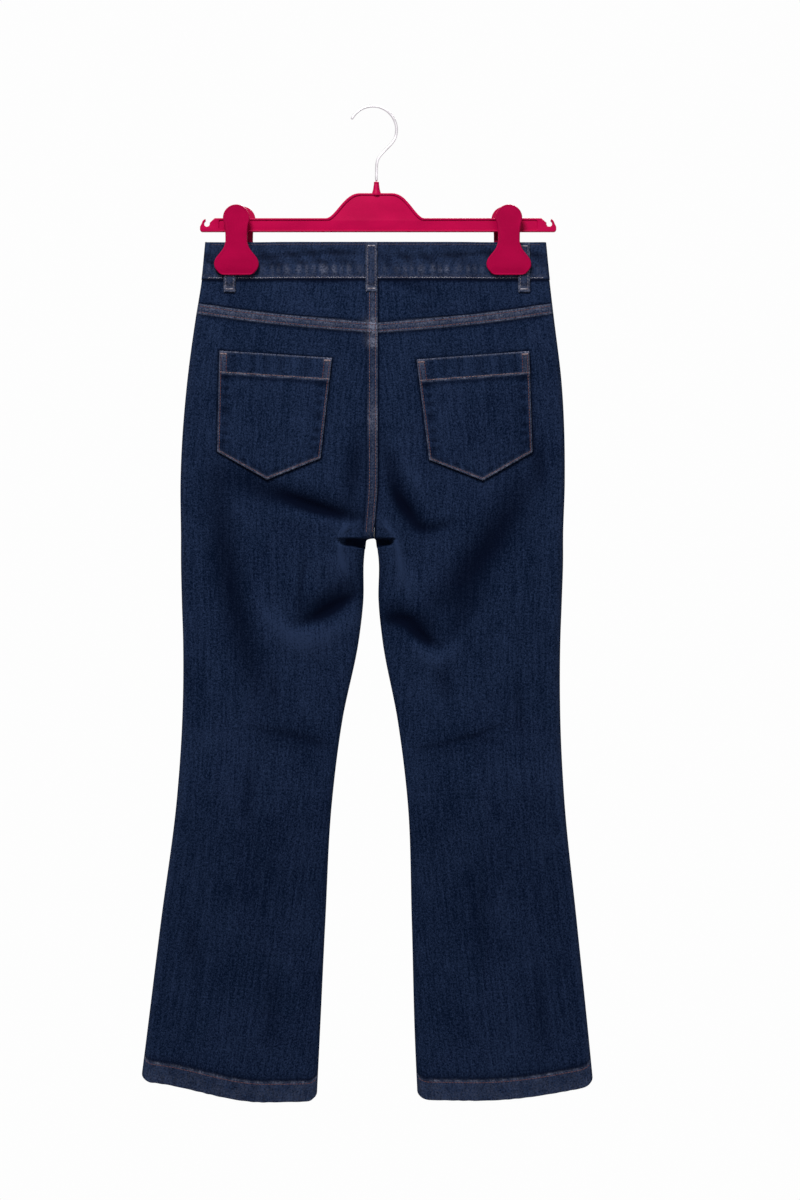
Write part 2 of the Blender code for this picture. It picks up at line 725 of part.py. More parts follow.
def main():
    clear_scene()
    parts = make_collection(COLLECTION)
    make_collection("cutters")
    denim = make_material("denim", INDIGO, 0.9)
    plastic = make_material("crimson_plastic", CRIMSON, 0.4)
    steel = make_material("steel", STEEL, 0.3, 1.0)
    copper = make_material("copper", COPPER, 0.4, 1.0)
    for leg in ("left", "right"):
        for side in ("back", "front"):
            leg_panel(leg, side, parts, denim)
        yoke_panel(leg, parts, denim)
        back_pocket(leg, parts, denim)
    waistband(parts, denim)
    for name in LOOPS:
        belt_loop(name, parts, denim)
    front_closing(parts, denim, copper)
    hanger_bar(parts, plastic)
    hanger_hook(parts, steel)
    for at in CLIP_X:
        clip_jaw("back", at, parts, plastic)
        clip_jaw("front", at, parts, plastic)
        clip_spring(at, parts, steel)


main()
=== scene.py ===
"""Flared jeans hung by the waistband from a plastic clip hanger.

Sizes in the tables are millimetres, with heights measured down from the origin, which is the
inside top of the hook; a mesh is scaled to metres when it is made. The back of the jeans faces
-Y and +X is the wearer's right. Each layer of cloth is a height field y(x, z) over the flat
garment, and every piece that lies on a layer is worked out from the same field, moved out.
"""

from collections import namedtuple
import math

import bpy
import numpy as np
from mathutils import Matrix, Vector


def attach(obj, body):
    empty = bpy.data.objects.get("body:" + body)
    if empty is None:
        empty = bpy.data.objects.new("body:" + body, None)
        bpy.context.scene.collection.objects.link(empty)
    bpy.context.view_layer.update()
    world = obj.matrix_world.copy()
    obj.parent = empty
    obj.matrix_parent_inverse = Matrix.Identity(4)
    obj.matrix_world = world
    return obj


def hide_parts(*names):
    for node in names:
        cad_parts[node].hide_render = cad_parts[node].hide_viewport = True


bl_info = {
    "name": "Flared jeans on a clip hanger",
    "version": (1, 0, 0),
    "blender": (4, 5, 0),
    "location": "View3D > Sidebar > Jeans",
    "description": "Cuts and sews the denim, and moulds the hanger and its clips",
    "category": "Object",
}

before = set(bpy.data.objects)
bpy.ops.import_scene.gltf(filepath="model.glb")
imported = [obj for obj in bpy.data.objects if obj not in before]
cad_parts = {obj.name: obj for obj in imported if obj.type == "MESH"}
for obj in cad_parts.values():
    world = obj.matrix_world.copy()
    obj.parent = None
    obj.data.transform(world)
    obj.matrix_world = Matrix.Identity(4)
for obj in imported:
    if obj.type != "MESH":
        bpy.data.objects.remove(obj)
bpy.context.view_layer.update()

MM = 0.001

# ---------------------------------------------------------------- sizes

# Cloth: the walls of a panel and of the folded waistband, the gap between two pieces, the round
# of a fold, how far the waistband stands off the panels, and the step of the twill in metres.
CLOTH = 1.2
BAND = 2.4
GAP = 0.3
FOLD_RADIUS = 6.0
PROUD = 0.5
TWILL = 0.0013

# Heights of the garment's main lines, and the laps of its seams.
WAIST_TOP = -159.0
WAIST_SEAM = -203.5
CROTCH = -508.5
CENTRE_TOP = 2.4
CENTRE_CROTCH = -1.6
CROTCH_RISE = 28.0
KNEE = -770.0
YOKE_SIDE = -231.5
YOKE_CENTRE = -255.0
YOKE_LAP = 11.0
SEAM_LAP = 11.0
LAP_LIFT = 1.1
HEM_BAND = 22.0
HEM_ROLL = 1.0

# The twist of the turned hems, and where it starts on each leg.
ROPE_SLANT = 0.7
ROPE_PITCH = 17.0
ROPE_START = {"left": 0.9, "right": 2.3}

# The waistband: the middle of its soft wave, of its puckers, and its two rows of stitches.
BAND_WAVE = -174.5
BAND_PUCKERS = -191.0
BAND_TOP_ROW = -162.0
BAND_FOOT_ROW = -201.0
PUCKER_PITCH = 10.5

# One row for each level: the side folds, the inseam folds (on the legs) and how far the back and
# the front stand out from the middle plane.
Level = namedtuple("Level", "z left_out left_in right_in right_out back front")
LEVELS = (
    Level(-159.0, -200.5, 2.4, 2.4, 201.0, 8.5, 7.5),
    Level(-204.0, -205.0, 2.4, 2.4, 205.5, 10.0, 8.5),
    Level(-251.0, -212.5, 2.4, 2.4, 211.0, 15.0, 11.0),
    Level(-322.0, -222.0, 2.4, 2.4, 219.5, 20.0, 13.0),
    Level(-440.0, -230.0, 0.4, 0.4, 223.5, 22.5, 14.0),
    Level(-508.5, -229.5, -11.0, 0.8, 221.5, 20.0, 15.0),
    Level(-534.0, -229.5, -13.6, 3.8, 221.5, 19.0, 15.0),
    Level(-581.0, -228.5, -14.2, 3.6, 220.0, 18.0, 15.0),
    Level(-628.0, -227.0, -19.5, 8.2, 218.3, 17.0, 15.0),
    Level(-723.0, -228.0, -39.0, 26.2, 218.3, 15.0, 14.0),
    Level(-817.0, -234.5, -51.0, 37.8, 223.0, 14.5, 13.5),
    Level(-959.0, -253.0, -59.0, 42.8, 237.5, 15.0, 14.0),
    Level(-1100.0, -270.5, -65.8, 46.6, 252.0, 16.5, 15.5),
    Level(-1175.0, -280.0, -69.5, 50.0, 259.3, 17.5, 16.5),
)

# The hem line of each leg: its height at the outseam, how far it falls towards the inseam, the
# share of the width over which it falls, and whether it eases in (1) or falls at once (0).
Hem = namedtuple("Hem", "outer drop reach ease")
HEMS = {"left": Hem(-1149.5, 23.0, 0.72, 1.0), "right": Hem(-1154.0, 16.5, 0.70, 0.0)}
HEM_CORNER = 10.0
HEM_CORNER_REACH = 14.0

# The clips pinch the waistband flat here.
CLIP_X = {"left": -163.7, "right": 157.2}
PINCH_HALF_WIDTH = 43.0
PINCH_DEPTH = 2.3
PINCH_FADE = 85.0

# Creases and ridges, listed one by one: an arc from a start to an end, its bow to the left of the
# chord, its half width and its depth. A negative depth is a ridge.
Fold = namedtuple("Fold", "side x0 z0 x1 z1 bow half_width depth")
FOLDS = (
    # Under the left seat.
    Fold("back", -176.0, -434.0, -26.0, -478.0, -6.0, 14.0, 3.8),
    Fold("back", -112.0, -456.0, -14.0, -486.0, -4.0, 7.0, 4.2),
    Fold("back", -120.0, -470.0, -40.0, -492.0, -3.0, 8.0, -1.2),
    Fold("back", -18.0, -385.0, -30.0, -472.0, 0.0, 12.0, 2.6),
    # Under the right seat, with a short branch.
    Fold("back", 8.0, -385.0, 58.0, -504.0, -8.0, 11.0, 2.8),
    Fold("back", 18.0, -446.0, 56.0, -498.0, -3.0, 7.5, 3.8),
    Fold("back", 40.0, -494.0, 92.0, -490.0, -5.0, 6.5, 2.6),
    Fold("back", 22.0, -392.0, 66.0, -470.0, -3.0, 8.0, -1.0),
    # Lips that run down from the ends of the crotch tuck.
    Fold("back", -31.0, -482.0, -30.0, -556.0, -10.0, 4.6, -2.2),
    Fold("back", 5.0, -482.0, 28.0, -566.0, 10.0, 5.0, -2.3),
    Fold("back", 24.0, -530.0, 42.0, -582.0, 6.0, 11.0, -1.8),
    Fold("back", -62.0, -530.0, -34.0, -572.0, 8.0, 12.0, -1.2),
    Fold("back", -43.0, -510.0, -36.0, -549.0, -2.0, 2.8, -1.7),
    Fold("back", 22.5, -509.0, 32.0, -566.0, 2.5, 3.0, -1.8),
    # Lids of the crotch tuck.
    Fold("back", -45.0, -509.0, -17.0, -490.0, 3.5, 2.4, -1.5),
    Fold("back", 1.5, -492.0, 24.5, -508.0, 3.0, 2.4, -1.5),
    # Behind the left thigh: dark hollow, upright crease and the bright roll below.
    Fold("back", -88.0, -604.0, -22.0, -554.0, -6.0, 14.0, 4.4),
    Fold("back", -94.0, -610.0, -14.0, -566.0, -5.0, 6.0, 3.6),
    Fold("back", -81.0, -530.0, -88.0, -600.0, -3.0, 4.0, 1.6),
    Fold("back", -142.0, -580.0, -18.0, -598.0, -38.0, 15.0, -2.6),
    # Behind the right thigh.
    Fold("back", 5.0, -592.0, 72.0, -630.0, 3.0, 14.0, 4.4),
    Fold("back", 38.0, -610.0, 74.0, -636.0, -2.0, 6.0, 3.6),
    Fold("back", 6.0, -603.0, 46.0, -607.0, 0.0, 7.0, 2.2),
    Fold("back", 32.0, -616.0, 112.0, -612.0, -38.0, 12.0, -2.2),
    # Long soft hollows from the hips to the knees.
    Fold("back", -191.0, -415.0, -134.0, -705.0, -8.0, 17.0, 3.4),
    Fold("back", 182.0, -438.0, 64.0, -600.0, 8.0, 20.0, 4.2),
    Fold("back", 190.0, -385.0, 195.0, -452.0, 0.0, 8.0, 2.2),
    Fold("back", 96.0, -640.0, 126.0, -560.0, 6.0, 16.0, 2.0),
    # Knees.
    Fold("back", 50.0, -757.0, 160.0, -723.5, -4.0, 3.2, 1.5),
    Fold("back", 40.0, -766.0, 170.0, -726.0, -4.0, 14.0, 0.9),
    Fold("back", -152.0, -732.0, -42.0, -757.0, 3.0, 6.0, 1.5),
    Fold("back", -160.0, -732.0, -40.0, -762.0, 3.0, 16.0, 0.9),
    Fold("back", 100.0, -744.0, 150.0, -752.0, 3.0, 5.0, 0.8),
    # Streaks on the calves.
    Fold("back", -122.0, -660.0, -116.0, -714.0, 0.0, 6.0, 1.4),
    Fold("back", 78.0, -652.0, 84.0, -702.0, 0.0, 10.0, 1.8),
    Fold("back", 168.0, -676.0, 173.0, -750.0, 0.0, 7.0, 1.5),
    Fold("back", -219.0, -960.0, -213.0, -1020.0, 0.0, 8.0, 1.2),
    Fold("back", -146.0, -760.0, -152.0, -850.0, 0.0, 9.0, 1.0),
    Fold("back", 120.0, -900.0, 128.0, -1010.0, 0.0, 12.0, 1.0),
    Fold("back", -120.0, -1010.0, -126.0, -1120.0, 0.0, 12.0, 1.0),
    Fold("back", 190.0, -1020.0, 196.0, -1120.0, 0.0, 12.0, 1.0),
    # Yoke.
    Fold("back", 34.0, -214.0, 82.0, -227.0, 3.0, 6.5, 1.5),
    Fold("back", 70.0, -232.0, 44.0, -244.0, 2.0, 7.0, 0.9),
    Fold("back", -86.0, -207.5, -30.0, -206.5, 0.0, 3.5, 1.1),
    Fold("back", 10.0, -206.5, 52.0, -210.5, 0.0, 4.0, 1.2),
    # Front: whiskers from the crotch and creases at the knees.
    Fold("front", -14.0, -462.0, -150.0, -420.0, 8.0, 18.0, 4.0),
    Fold("front", -16.0, -486.0, -120.0, -470.0, 5.0, 7.0, 2.4),
    Fold("front", -14.0, -440.0, -96.0, -392.0, 5.0, 7.0, 1.8),
    Fold("front", 14.0, -466.0, 142.0, -424.0, -8.0, 18.0, 4.0),
    Fold("front", 16.0, -488.0, 118.0, -476.0, -5.0, 7.0, 2.4),
    Fold("front", 14.0, -436.0, 100.0, -396.0, -5.0, 7.0, 1.8),
    Fold("front", -60.0, -760.0, -180.0, -735.0, 5.0, 20.0, 2.4),
    Fold("front", -66.0, -764.0, -160.0, -744.0, 4.0, 5.0, 1.4),
    Fold("front", 60.0, -745.0, 168.0, -762.0, 5.0, 20.0, 2.4),
    Fold("front", 62.0, -740.0, 150.0, -752.0, 4.0, 5.0, 1.4),
    Fold("front", -178.0, -440.0, -140.0, -690.0, 8.0, 20.0, 3.0),
    Fold("front", 180.0, -450.0, 126.0, -680.0, -8.0, 20.0, 3.0),
)

# The depth of a hollow that gives a whole step of painted shade, and the height of a ridge that
# gives a whole step of painted highlight.
HOLLOW_SHADE = 5.2
RIDGE_SHADE = 1.7

# The tuck where the seat hangs over the tops of the legs: its ends, height and depth.
TUCK_X = (-43.0, 22.5)
TUCK_TALL = 7.5
TUCK_DEPTH = 8.0

# Back pockets: the middle of the top edge and the tilt, in degrees, seen from behind.
Pocket = namedtuple("Pocket", "x z tilt")
POCKETS = {"left": Pocket(-117.3, -292.4, -3.9), "right": Pocket(114.9, -293.6, 4.5)}
POCKET_TOP_HALF = 66.5
POCKET_BOTTOM_HALF = 61.0
POCKET_SIDE = 118.5
POCKET_POINT = 29.0
POCKET_HEM = 24.5
POCKET_WAVE_START = {"left": 1.1, "right": 2.6}

# Belt loops: middle line, side of the garment and how far the middle stands off the waistband.
Loop = namedtuple("Loop", "x side bow")
LOOPS = {
    "centre_back": Loop(-4.6, "back", 1.2),
    "back_left": Loop(-172.0, "back", 0.0),
    "back_right": Loop(175.3, "back", 0.0),
    "front_left": Loop(-92.0, "front", 1.2),
    "front_right": Loop(88.0, "front", 1.2),
}
LOOP_WIDTH = 13.0
LOOP_THICKNESS = 1.6
LOOP_TOP = -160.5
LOOP_BOTTOM = -217.5

# The fly, its zip and the waist button.
FLY_TOP = -206.0
FLY_BOTTOM = -348.0
FLY_WIDTH = 38.0
ZIP_LEFT = -30.0
ZIP_WIDTH = 26.0
ZIP_THICKNESS = 2.2
SLIDER_WIDTH = 8.0
SLIDER_LENGTH = 12.0
WAIST_LAP = 22.0
BUTTON_RADIUS = 8.5
BUTTON_HEIGHT = 3.2

# The hanger's bar, its hump and spigot, and the wire hook with its return to the spigot.
BAR_LEFT = -206.9
BAR_RIGHT = 213.3
BAR_TOP = -130.7
BAR_BOTTOM = -146.9
BAR_THICKNESS = 8.0
HUMP_BASE = (-58.5, 58.0)
HUMP_TOP = (-18.0, 19.5)
HUMP_SKEW = 2.0
HUMP_HEIGHT = 29.5
SPIGOT_X = 1.2
SPIGOT_TOP = -87.5
HOOK_RADIUS = 1.7
HOOK_ARC = 28.0
HOOK_CENTRE = (-3.1, -26.3)
HOOK_RETURN = (
    (19.4, -42.0), (13.4, -48.3), (7.4, -54.6), (3.2, -60.4), (1.6, -66.5), (1.3, -74.0),
    (1.2, -80.0), (1.2, -86.9),
)

# A clip's jaws: the round head, the half widths below it, the lean, where each jaw meets the
# cloth and how far it is set aside, and the spring between the two.
JAW_TOP = -115.0
JAW_HEAD = 15.7
JAW_NECK = -137.3
Width = namedtuple("Width", "z half")
JAW_SIDE = (
    Width(-137.3, 14.2), Width(-142.0, 13.5), Width(-152.0, 12.9), Width(-161.0, 13.4),
    Width(-167.0, 15.8), Width(-172.5, 20.0), Width(-178.0, 24.3), Width(-184.0, 26.3),
    Width(-189.0, 25.6), Width(-193.5, 22.6), Width(-196.8, 18.6), Width(-198.0, 14.8),
)
JAW_THICKNESS = 3.6
JAW_SPLAY = 6.0
JAW_GRIP = {"back": 5.4, "front": 3.9}
JAW_SHIFT = {"back": {"left": 0.0, "right": 0.0}, "front": {"left": 6.0, "right": -4.4}}
SPRING_RADIUS = 3.2
SPRING_WIRE = 0.55
SPRING_LENGTH = 15.0

# The camera's aim, in x and z, its height of view and its distance, in metres.
VIEW_MIDDLE = (0.029, -0.581)
VIEW_HEIGHT = 1.416
VIEW_DISTANCE = 5.0
SENSOR = 36.0
SEEN_WHITE = 0.985


# Which way the outside of each layer faces along y.
AWAY = {"back": -1.0, "front": 1.0}
FACING = {"back": (0.0, -1.0, 0.0), "front": (0.0, 1.0, 0.0)}
LEGS = ("left", "right")


# ---------------------------------------------------------------- the shape of the cloth


def curve_through(places, values, at):
    """A smooth curve through a table: a cubic on each span, with the slopes of its rows."""
    places = np.array(places, float)
    values = np.array(values, float)
    slopes = np.gradient(values, places)
    at = np.clip(at, places[0], places[-1])
    k = np.clip(np.searchsorted(places, at) - 1, 0, len(places) - 2)
    span = places[k + 1] - places[k]
    u = (at - places[k]) / span
    start = (1 + 2 * u) * (1 - u) ** 2 * values[k] + u * (1 - u) ** 2 * span * slopes[k]
    end = u**2 * (3 - 2 * u) * values[k + 1] - u**2 * (1 - u) * span * slopes[k + 1]
    return start + end


def level(name, z):
    """A column of LEVELS at height z."""
    rows = LEVELS[::-1]
    return curve_through([row.z for row in rows], [getattr(row, name) for row in rows], z)


def smooth_step(u):
    u = np.clip(u, 0.0, 1.0)
    return u * u * (3 - 2 * u)


def quarter(u):
    """A quarter circle: 0 at u = 0, rising upright, and 1 from u = 1."""
    return np.sqrt(1 - (1 - np.clip(u, 0.0, 1.0)) ** 2)


def bell(distance, half_width):
    return np.exp(-((distance / half_width) ** 2))


def ripple(along, pitch, start):
    """An uneven wave: a sine whose pitch wanders by half."""
    wander = 1.5 * np.sin(2 * math.pi * along / (3.7 * pitch) + start)
    return np.sin(2 * math.pi * along / pitch + wander + start)


def centre_line(z):
    """The x of the centre seam."""
    return CENTRE_TOP + (CENTRE_CROTCH - CENTRE_TOP) * smooth_step((z + 440.0) / (CROTCH + 440.0))


def edges(leg, z):
    """The x of the side fold and of the centre seam or inseam fold."""
    outer = level(f"{leg}_out", z)
    centre = centre_line(z)
    inseam = level(f"{leg}_in", np.minimum(z, CROTCH))
    below = quarter((CROTCH - z) / 3.0)
    return outer, np.where(z >= CROTCH, centre, centre + (inseam - centre) * below)


def legness(z):
    """0 where the trunk is one tube, 1 on the legs, rounding the crotch like the end of a fold."""
    into = np.clip((CROTCH + CROTCH_RISE - z) / CROTCH_RISE, 0.0, 1.0)
    return 1 - np.sqrt(1 - into**2)


def leg_share(z):
    """0 on the trunk and 1 on the legs, changing slowly: it moves the bulge from seat to leg."""
    return smooth_step((CROTCH + 75.0 - z) / 190.0)


def pinch(x, z):
    """How far the clips press the waistband flat, 0 to 1."""
    down = 1 - smooth_step((WAIST_SEAM - z) / PINCH_FADE)
    across = sum(np.exp(-(((x - at) / PINCH_HALF_WIDTH) ** 4)) for at in CLIP_X.values())
    return down * np.minimum(across, 1.0)


def folds(side, x, z):
    """How far the creases press this layer in: each is a bell across its arc, fullest midway."""
    amount = bpy.context.scene.jeans_cloth.fold_depth
    total = np.zeros(np.broadcast(x, z).shape)
    for fold in FOLDS:
        if fold.side != side:
            continue
        length = math.hypot(fold.x1 - fold.x0, fold.z1 - fold.z0)
        ux, uz = (fold.x1 - fold.x0) / length, (fold.z1 - fold.z0) / length
        s = ((x - fold.x0) * ux + (z - fold.z0) * uz) / length
        inside = np.clip(s, 0.0, 1.0)
        off = (z - fold.z0) * ux - (x - fold.x0) * uz - 4 * fold.bow * inside * (1 - inside)
        past = (s - inside) * length
        near = bell(np.hypot(off, past), fold.half_width)
        total += fold.depth * near * (0.25 + 0.75 * np.sin(math.pi * inside))
    return total * amount


def fold_shade(side, x, z):
    """Painted shade in the creases, below 0, and painted highlight on the ridges, above 0."""
    pressed = folds(side, x, z)
    return np.where(pressed > 0, -pressed / HOLLOW_SHADE, -pressed / RIDGE_SHADE)


def drape(x, z):
    """Slight unevenness of hung cloth: long upright waves and a few slanting ones."""
    upright = 0.30 * ripple(x + 0.05 * z, 31.0, 0.4) * np.sin(z / 61.0 + 0.8)
    fine = 0.16 * ripple(x - 0.04 * z, 13.0, 2.1) * np.sin(z / 37.0 + x / 53.0)
    slanting = 0.22 * ripple(z + 0.35 * x, 47.0, 1.2) * np.sin(x / 43.0)
    return upright + fine + slanting


def tuck_share(x, z):
    """1 inside the tuck under the seat: a steep wall above, rounded ends, deepest at the inseams."""
    middle = 0.5 * (TUCK_X[0] + TUCK_X[1])
    half = 0.5 * (TUCK_X[1] - TUCK_X[0])
    along = np.clip(np.abs(x - middle) / half, 0.0, 1.0)
    end = quarter((1 - along) * 6.0)
    tall = TUCK_TALL * (1.25 + 0.6 * (1 - along)) * (0.35 + 0.65 * end)
    below = CROTCH + 0.8 - z
    return smooth_step(below / 1.2) * (1 - smooth_step((below - tall + 2.5) / 3.0)) * end


def depth(side, x, z, from_outer, from_inner):
    """How far the outside of one layer stands from the middle plane."""
    width = from_outer + from_inner
    share = from_outer / width
    most = level(side, z)
    slow = leg_share(z)
    bulge = (1 - slow) * np.sin(0.5 * math.pi * share) + slow * np.sin(math.pi * share)
    b = legness(z)
    near_crotch = 1 - smooth_step((CROTCH - z) / 120.0)
    inner_radius = FOLD_RADIUS + (most - FOLD_RADIUS) * near_crotch
    inner = 1 - b + b * quarter(from_inner / inner_radius)
    full = (FOLD_RADIUS * quarter(from_outer / FOLD_RADIUS) + (most - FOLD_RADIUS) * bulge) * inner
    free = smooth_step(from_outer / 30.0) * (1 - b + b * smooth_step(from_inner / 18.0))
    full = full - (folds(side, x, z) + drape(x, z)) * free
    if side == "back":
        full = full - np.minimum(TUCK_DEPTH * tuck_share(x, z), 0.8 * full)
    p = pinch(x, z)
    return full * (1 - p) + np.minimum(full, PINCH_DEPTH) * p


def layer_point(leg, side, x, z):
    """y of the outside of a layer at a place on the flat garment."""
    outer, inner = edges(leg, z)
    return AWAY[side] * depth(side, x, z, np.abs(x - outer), np.abs(inner - x))


def over(side, x, z, out):
    """y of the surface that stands `out` off the whole back or front."""
    left, right = layer_point("left", side, x, z), layer_point("right", side, x, z)
    return np.where(x < centre_line(z), left, right) + AWAY[side] * out


def yoke_height(share):
    """The seam between the yoke and the leg, from the side (0) to the centre (1)."""
    fall = share + 0.10 * np.sin(math.pi * share)
    return YOKE_SIDE + (YOKE_CENTRE - YOKE_SIDE) * fall


def hem_height(leg, share):
    """The hem line: it falls towards the inseam and turns up at both folds."""
    hem = HEMS[leg]
    part = np.clip(share / hem.reach, 0.0, 1.0)
    fall = hem.ease * smooth_step(part) + (1 - hem.ease) * np.sin(0.5 * math.pi * part)
    near = np.minimum(share, 1 - share) * 205.0
    corner = HEM_CORNER * (1 - quarter(near / HEM_CORNER_REACH))
    return hem.outer - hem.drop * fall + corner


def share_at(leg, x, z):
    """The share of the panel's width, from the side fold, at which a place lies."""
    outer, inner = edges(leg, z)
    return np.clip((x - outer) / (inner - outer), 0.0, 1.0)


def rope(leg, x, above_hem):
    """The slanting twist that a turned hem takes, -1 to 1."""
    return ripple(x + ROPE_SLANT * above_hem, ROPE_PITCH, ROPE_START[leg])


def seam_relief(leg, side, x, z):
    """How far the sewn layers lift the cloth: yoke lap, centre seam lap and hem, with puckers."""
    share = share_at(leg, x, z)
    outer, inner = edges(leg, z)
    from_centre = np.abs(inner - x)
    trunk = smooth_step((z - CROTCH) / 4.0)
    lift = np.zeros(np.broadcast(x, z).shape)
    if side == "back":
        below = yoke_height(share) - z
        lap = smooth_step((below + 0.4) / 0.6) * (1 - smooth_step((below - YOKE_LAP) / 1.6))
        rows = bell(below - 2.6, 0.9) + bell(below - 9.4, 0.9)
        lift += lap * (LAP_LIFT + 0.22 * ripple(x, 7.3, 0.7)) - 0.3 * rows
        lift -= 0.5 * bell(below + 2.2, 2.4)
        if leg == "left":
            seam = trunk * (1 - smooth_step((from_centre - SEAM_LAP) / 1.6))
            rows = bell(from_centre - 2.2, 0.9) + bell(from_centre - 9.2, 0.9)
            lift += seam * (LAP_LIFT + 0.22 * ripple(z, 8.1, 1.9)) - 0.3 * rows * trunk
        else:
            lift -= 0.5 * trunk * bell(from_centre - 1.5, 2.6)
    above_hem = z - hem_height(leg, share)
    inside = smooth_step(above_hem / 1.5) * (1 - smooth_step((above_hem - HEM_BAND) / 2.0))
    twist = rope(leg, x, above_hem)
    lift += inside * (0.7 + 0.42 * twist)
    lift -= 0.7 * bell(above_hem - HEM_BAND - 1.0, 1.8)
    lift -= 0.35 * bell(above_hem - HEM_BAND - 7.0, 6.0) * (0.5 + 0.5 * twist)
    return lift * quarter(np.abs(x - outer) / 4.0) * (trunk + (1 - trunk) * quarter(from_centre / 4.0))


def panel_y(leg, side, x, z):
    """y of the finished outside of a panel, seams included."""
    return layer_point(leg, side, x, z) + AWAY[side] * seam_relief(leg, side, x, z)


def pocket_place(leg, across, down):
    """x and z of a place on a pocket, measured across from its middle and down from its top."""
    place = POCKETS[leg]
    tilt = math.radians(place.tilt)
    x = place.x + across * math.cos(tilt) + down * math.sin(tilt)
    z = place.z + across * math.sin(tilt) - down * math.cos(tilt)
    return x, z


def inside_pocket(leg, x, z):
    """How far a place on the flat garment lies inside the pocket's outline; below 0 outside."""
    place = POCKETS[leg]
    tilt = math.radians(place.tilt)
    across = (x - place.x) * math.cos(tilt) + (z - place.z) * math.sin(tilt)
    down = (x - place.x) * math.sin(tilt) - (z - place.z) * math.cos(tilt)
    from_side, from_foot = pocket_edges(across, np.maximum(down, 0.0))
    return np.minimum(np.minimum(from_side, from_foot), down)


def pocket_half(down):
    """Half the pocket's width at a distance down from its top."""
    return POCKET_TOP_HALF + (POCKET_BOTTOM_HALF - POCKET_TOP_HALF) * down / POCKET_SIDE


def pocket_edges(across, down):
    """How far a place lies inside the pocket's sides and inside its pointed foot."""
    from_side = pocket_half(np.minimum(down, POCKET_SIDE)) - np.abs(across)
    slope = POCKET_POINT / POCKET_BOTTOM_HALF
    foot = POCKET_SIDE + POCKET_POINT - slope * np.abs(across)
    return from_side, (foot - down) / math.hypot(1.0, slope)


def pocket_ripples(leg, across, down):
    """The puckers along a pocket's sides and foot, 0 to 1, and the wave of its hem, -1 to 1."""
    sides = 0.5 + 0.5 * ripple(down, 13.5, 0.6)
    foot = 0.5 + 0.5 * ripple(across, 9.5, 1.4)
    return sides, foot, ripple(across, 21.0, POCKET_WAVE_START[leg])


def pocket_y(leg, across, down):
    """y of the pocket's outside: edges turned under, a thicker hem and puckered seams."""
    x, z = pocket_place(leg, across, down)
    from_side, from_foot = pocket_edges(across, down)
    from_edge = np.minimum(from_side, from_foot)
    out = CLOTH + 1.4 + 0.5 * (1 - smooth_step((down - POCKET_HEM) / 1.6))
    out -= 0.35 * bell(down - POCKET_HEM, 0.8)
    out -= 0.9 * (1 - quarter(from_edge / 1.4))
    turned_under = 0.45 * (1 - smooth_step((from_edge - 8.5) / 2.0))
    sides, foot, wave = pocket_ripples(leg, across, down)
    puckers = bell(from_side - 9.0, 6.0) * sides + 0.8 * bell(from_foot - 7.0, 5.0) * foot
    below_hem = smooth_step((down - POCKET_HEM - 3.0) / 6.0)
    out += turned_under - 0.75 * puckers * below_hem + (1 - below_hem) * 0.22 * wave
    out -= 0.3 * bell(from_edge - 2.2, 0.8)
    return over("back", x, z, out + seam_relief(leg, "back", x, z))


def band_out(x, z):
    """How far the waistband stands off the layers: a soft wave along it and puckers at its foot."""
    wave = -0.95 * bell(z - BAND_WAVE + 1.3 * np.sin(x / 31.0), 3.4)
    wave *= 0.35 + 0.65 * smooth_step(np.abs(x) / 40.0) * (1 - smooth_step((np.abs(x) - 150) / 40))
    puckers = 0.42 * ripple(x, PUCKER_PITCH, 0.2) * bell(z - BAND_PUCKERS, 7.5)
    puckers *= 0.35 + 0.65 * bell(x + 65.0, 48.0) + 0.4 * bell(x - 80.0, 40.0)
    rows = -0.35 * bell(z - BAND_FOOT_ROW + 0.2, 1.3) - 0.25 * bell(z - BAND_TOP_ROW, 0.9)
    top = -0.8 * (1 - quarter((WAIST_TOP - z) / 1.6))
    slack = 1 - 0.85 * pinch(x, z)
    return PROUD + (wave + puckers) * slack + rows + top


# ---------------------------------------------------------------- meshes


def grid_faces(rows, columns, first=0):
    """Four-sided faces of a grid of points, listed row by row."""
    corner = (np.arange(rows - 1)[:, None] * columns + np.arange(columns - 1)).ravel() + first
    return np.stack((corner, corner + columns, corner + columns + 1, corner + 1), axis=1)


def grid_edge(rows, columns):
    """The row and column of each point round the edge of a grid, in order."""
    across, down = np.arange(columns - 1), np.arange(rows - 1)
    row = np.concatenate((0 * across, down, 0 * across + rows - 1, rows - 1 - down))
    column = np.concatenate((across, 0 * down + columns - 1, columns - 1 - across, 0 * down))
    return row, column


def wall_faces(one, other):
    """Faces that join two closed rings of points."""
    return np.stack((one, np.roll(one, -1), np.roll(other, -1), other), axis=1)


def add_mesh(name, points, faces, material, cloth=None, wear=None, shade=None):
    """A mesh object from points in millimetres, with its cloth coordinates, its wear
    (rubbed wear and painted highlight) and its shade (painted shade and painted highlight).
    """
    mesh = bpy.data.meshes.new(name)
    mesh.from_pydata((points * MM).tolist(), [], faces.tolist())
    mesh.shade_smooth()
    if cloth is not None:
        layer = mesh.uv_layers.new(name="cloth")
        corners = np.empty(len(mesh.loops), np.int32)
        mesh.loops.foreach_get("vertex_index", corners)
        layer.data.foreach_set("uv", (cloth * MM)[corners].astype(np.float32).ravel())
    for attribute, values in (("wear", wear), ("shade", shade)):
        if values is not None:
            layer = mesh.attributes.new(attribute, "FLOAT", "POINT")
            layer.data.foreach_set("value", values.astype(np.float32))
    item = bpy.data.objects.new(name, mesh)
    bpy.context.scene.collection.objects.link(item)
    mesh.materials.append(material)
    return item


def mesh_points(mesh):
    """The places of a mesh's vertices, as rows."""
    flat = np.empty(len(mesh.vertices) * 3)
    mesh.vertices.foreach_get("co", flat)
    return flat.reshape(-1, 3)


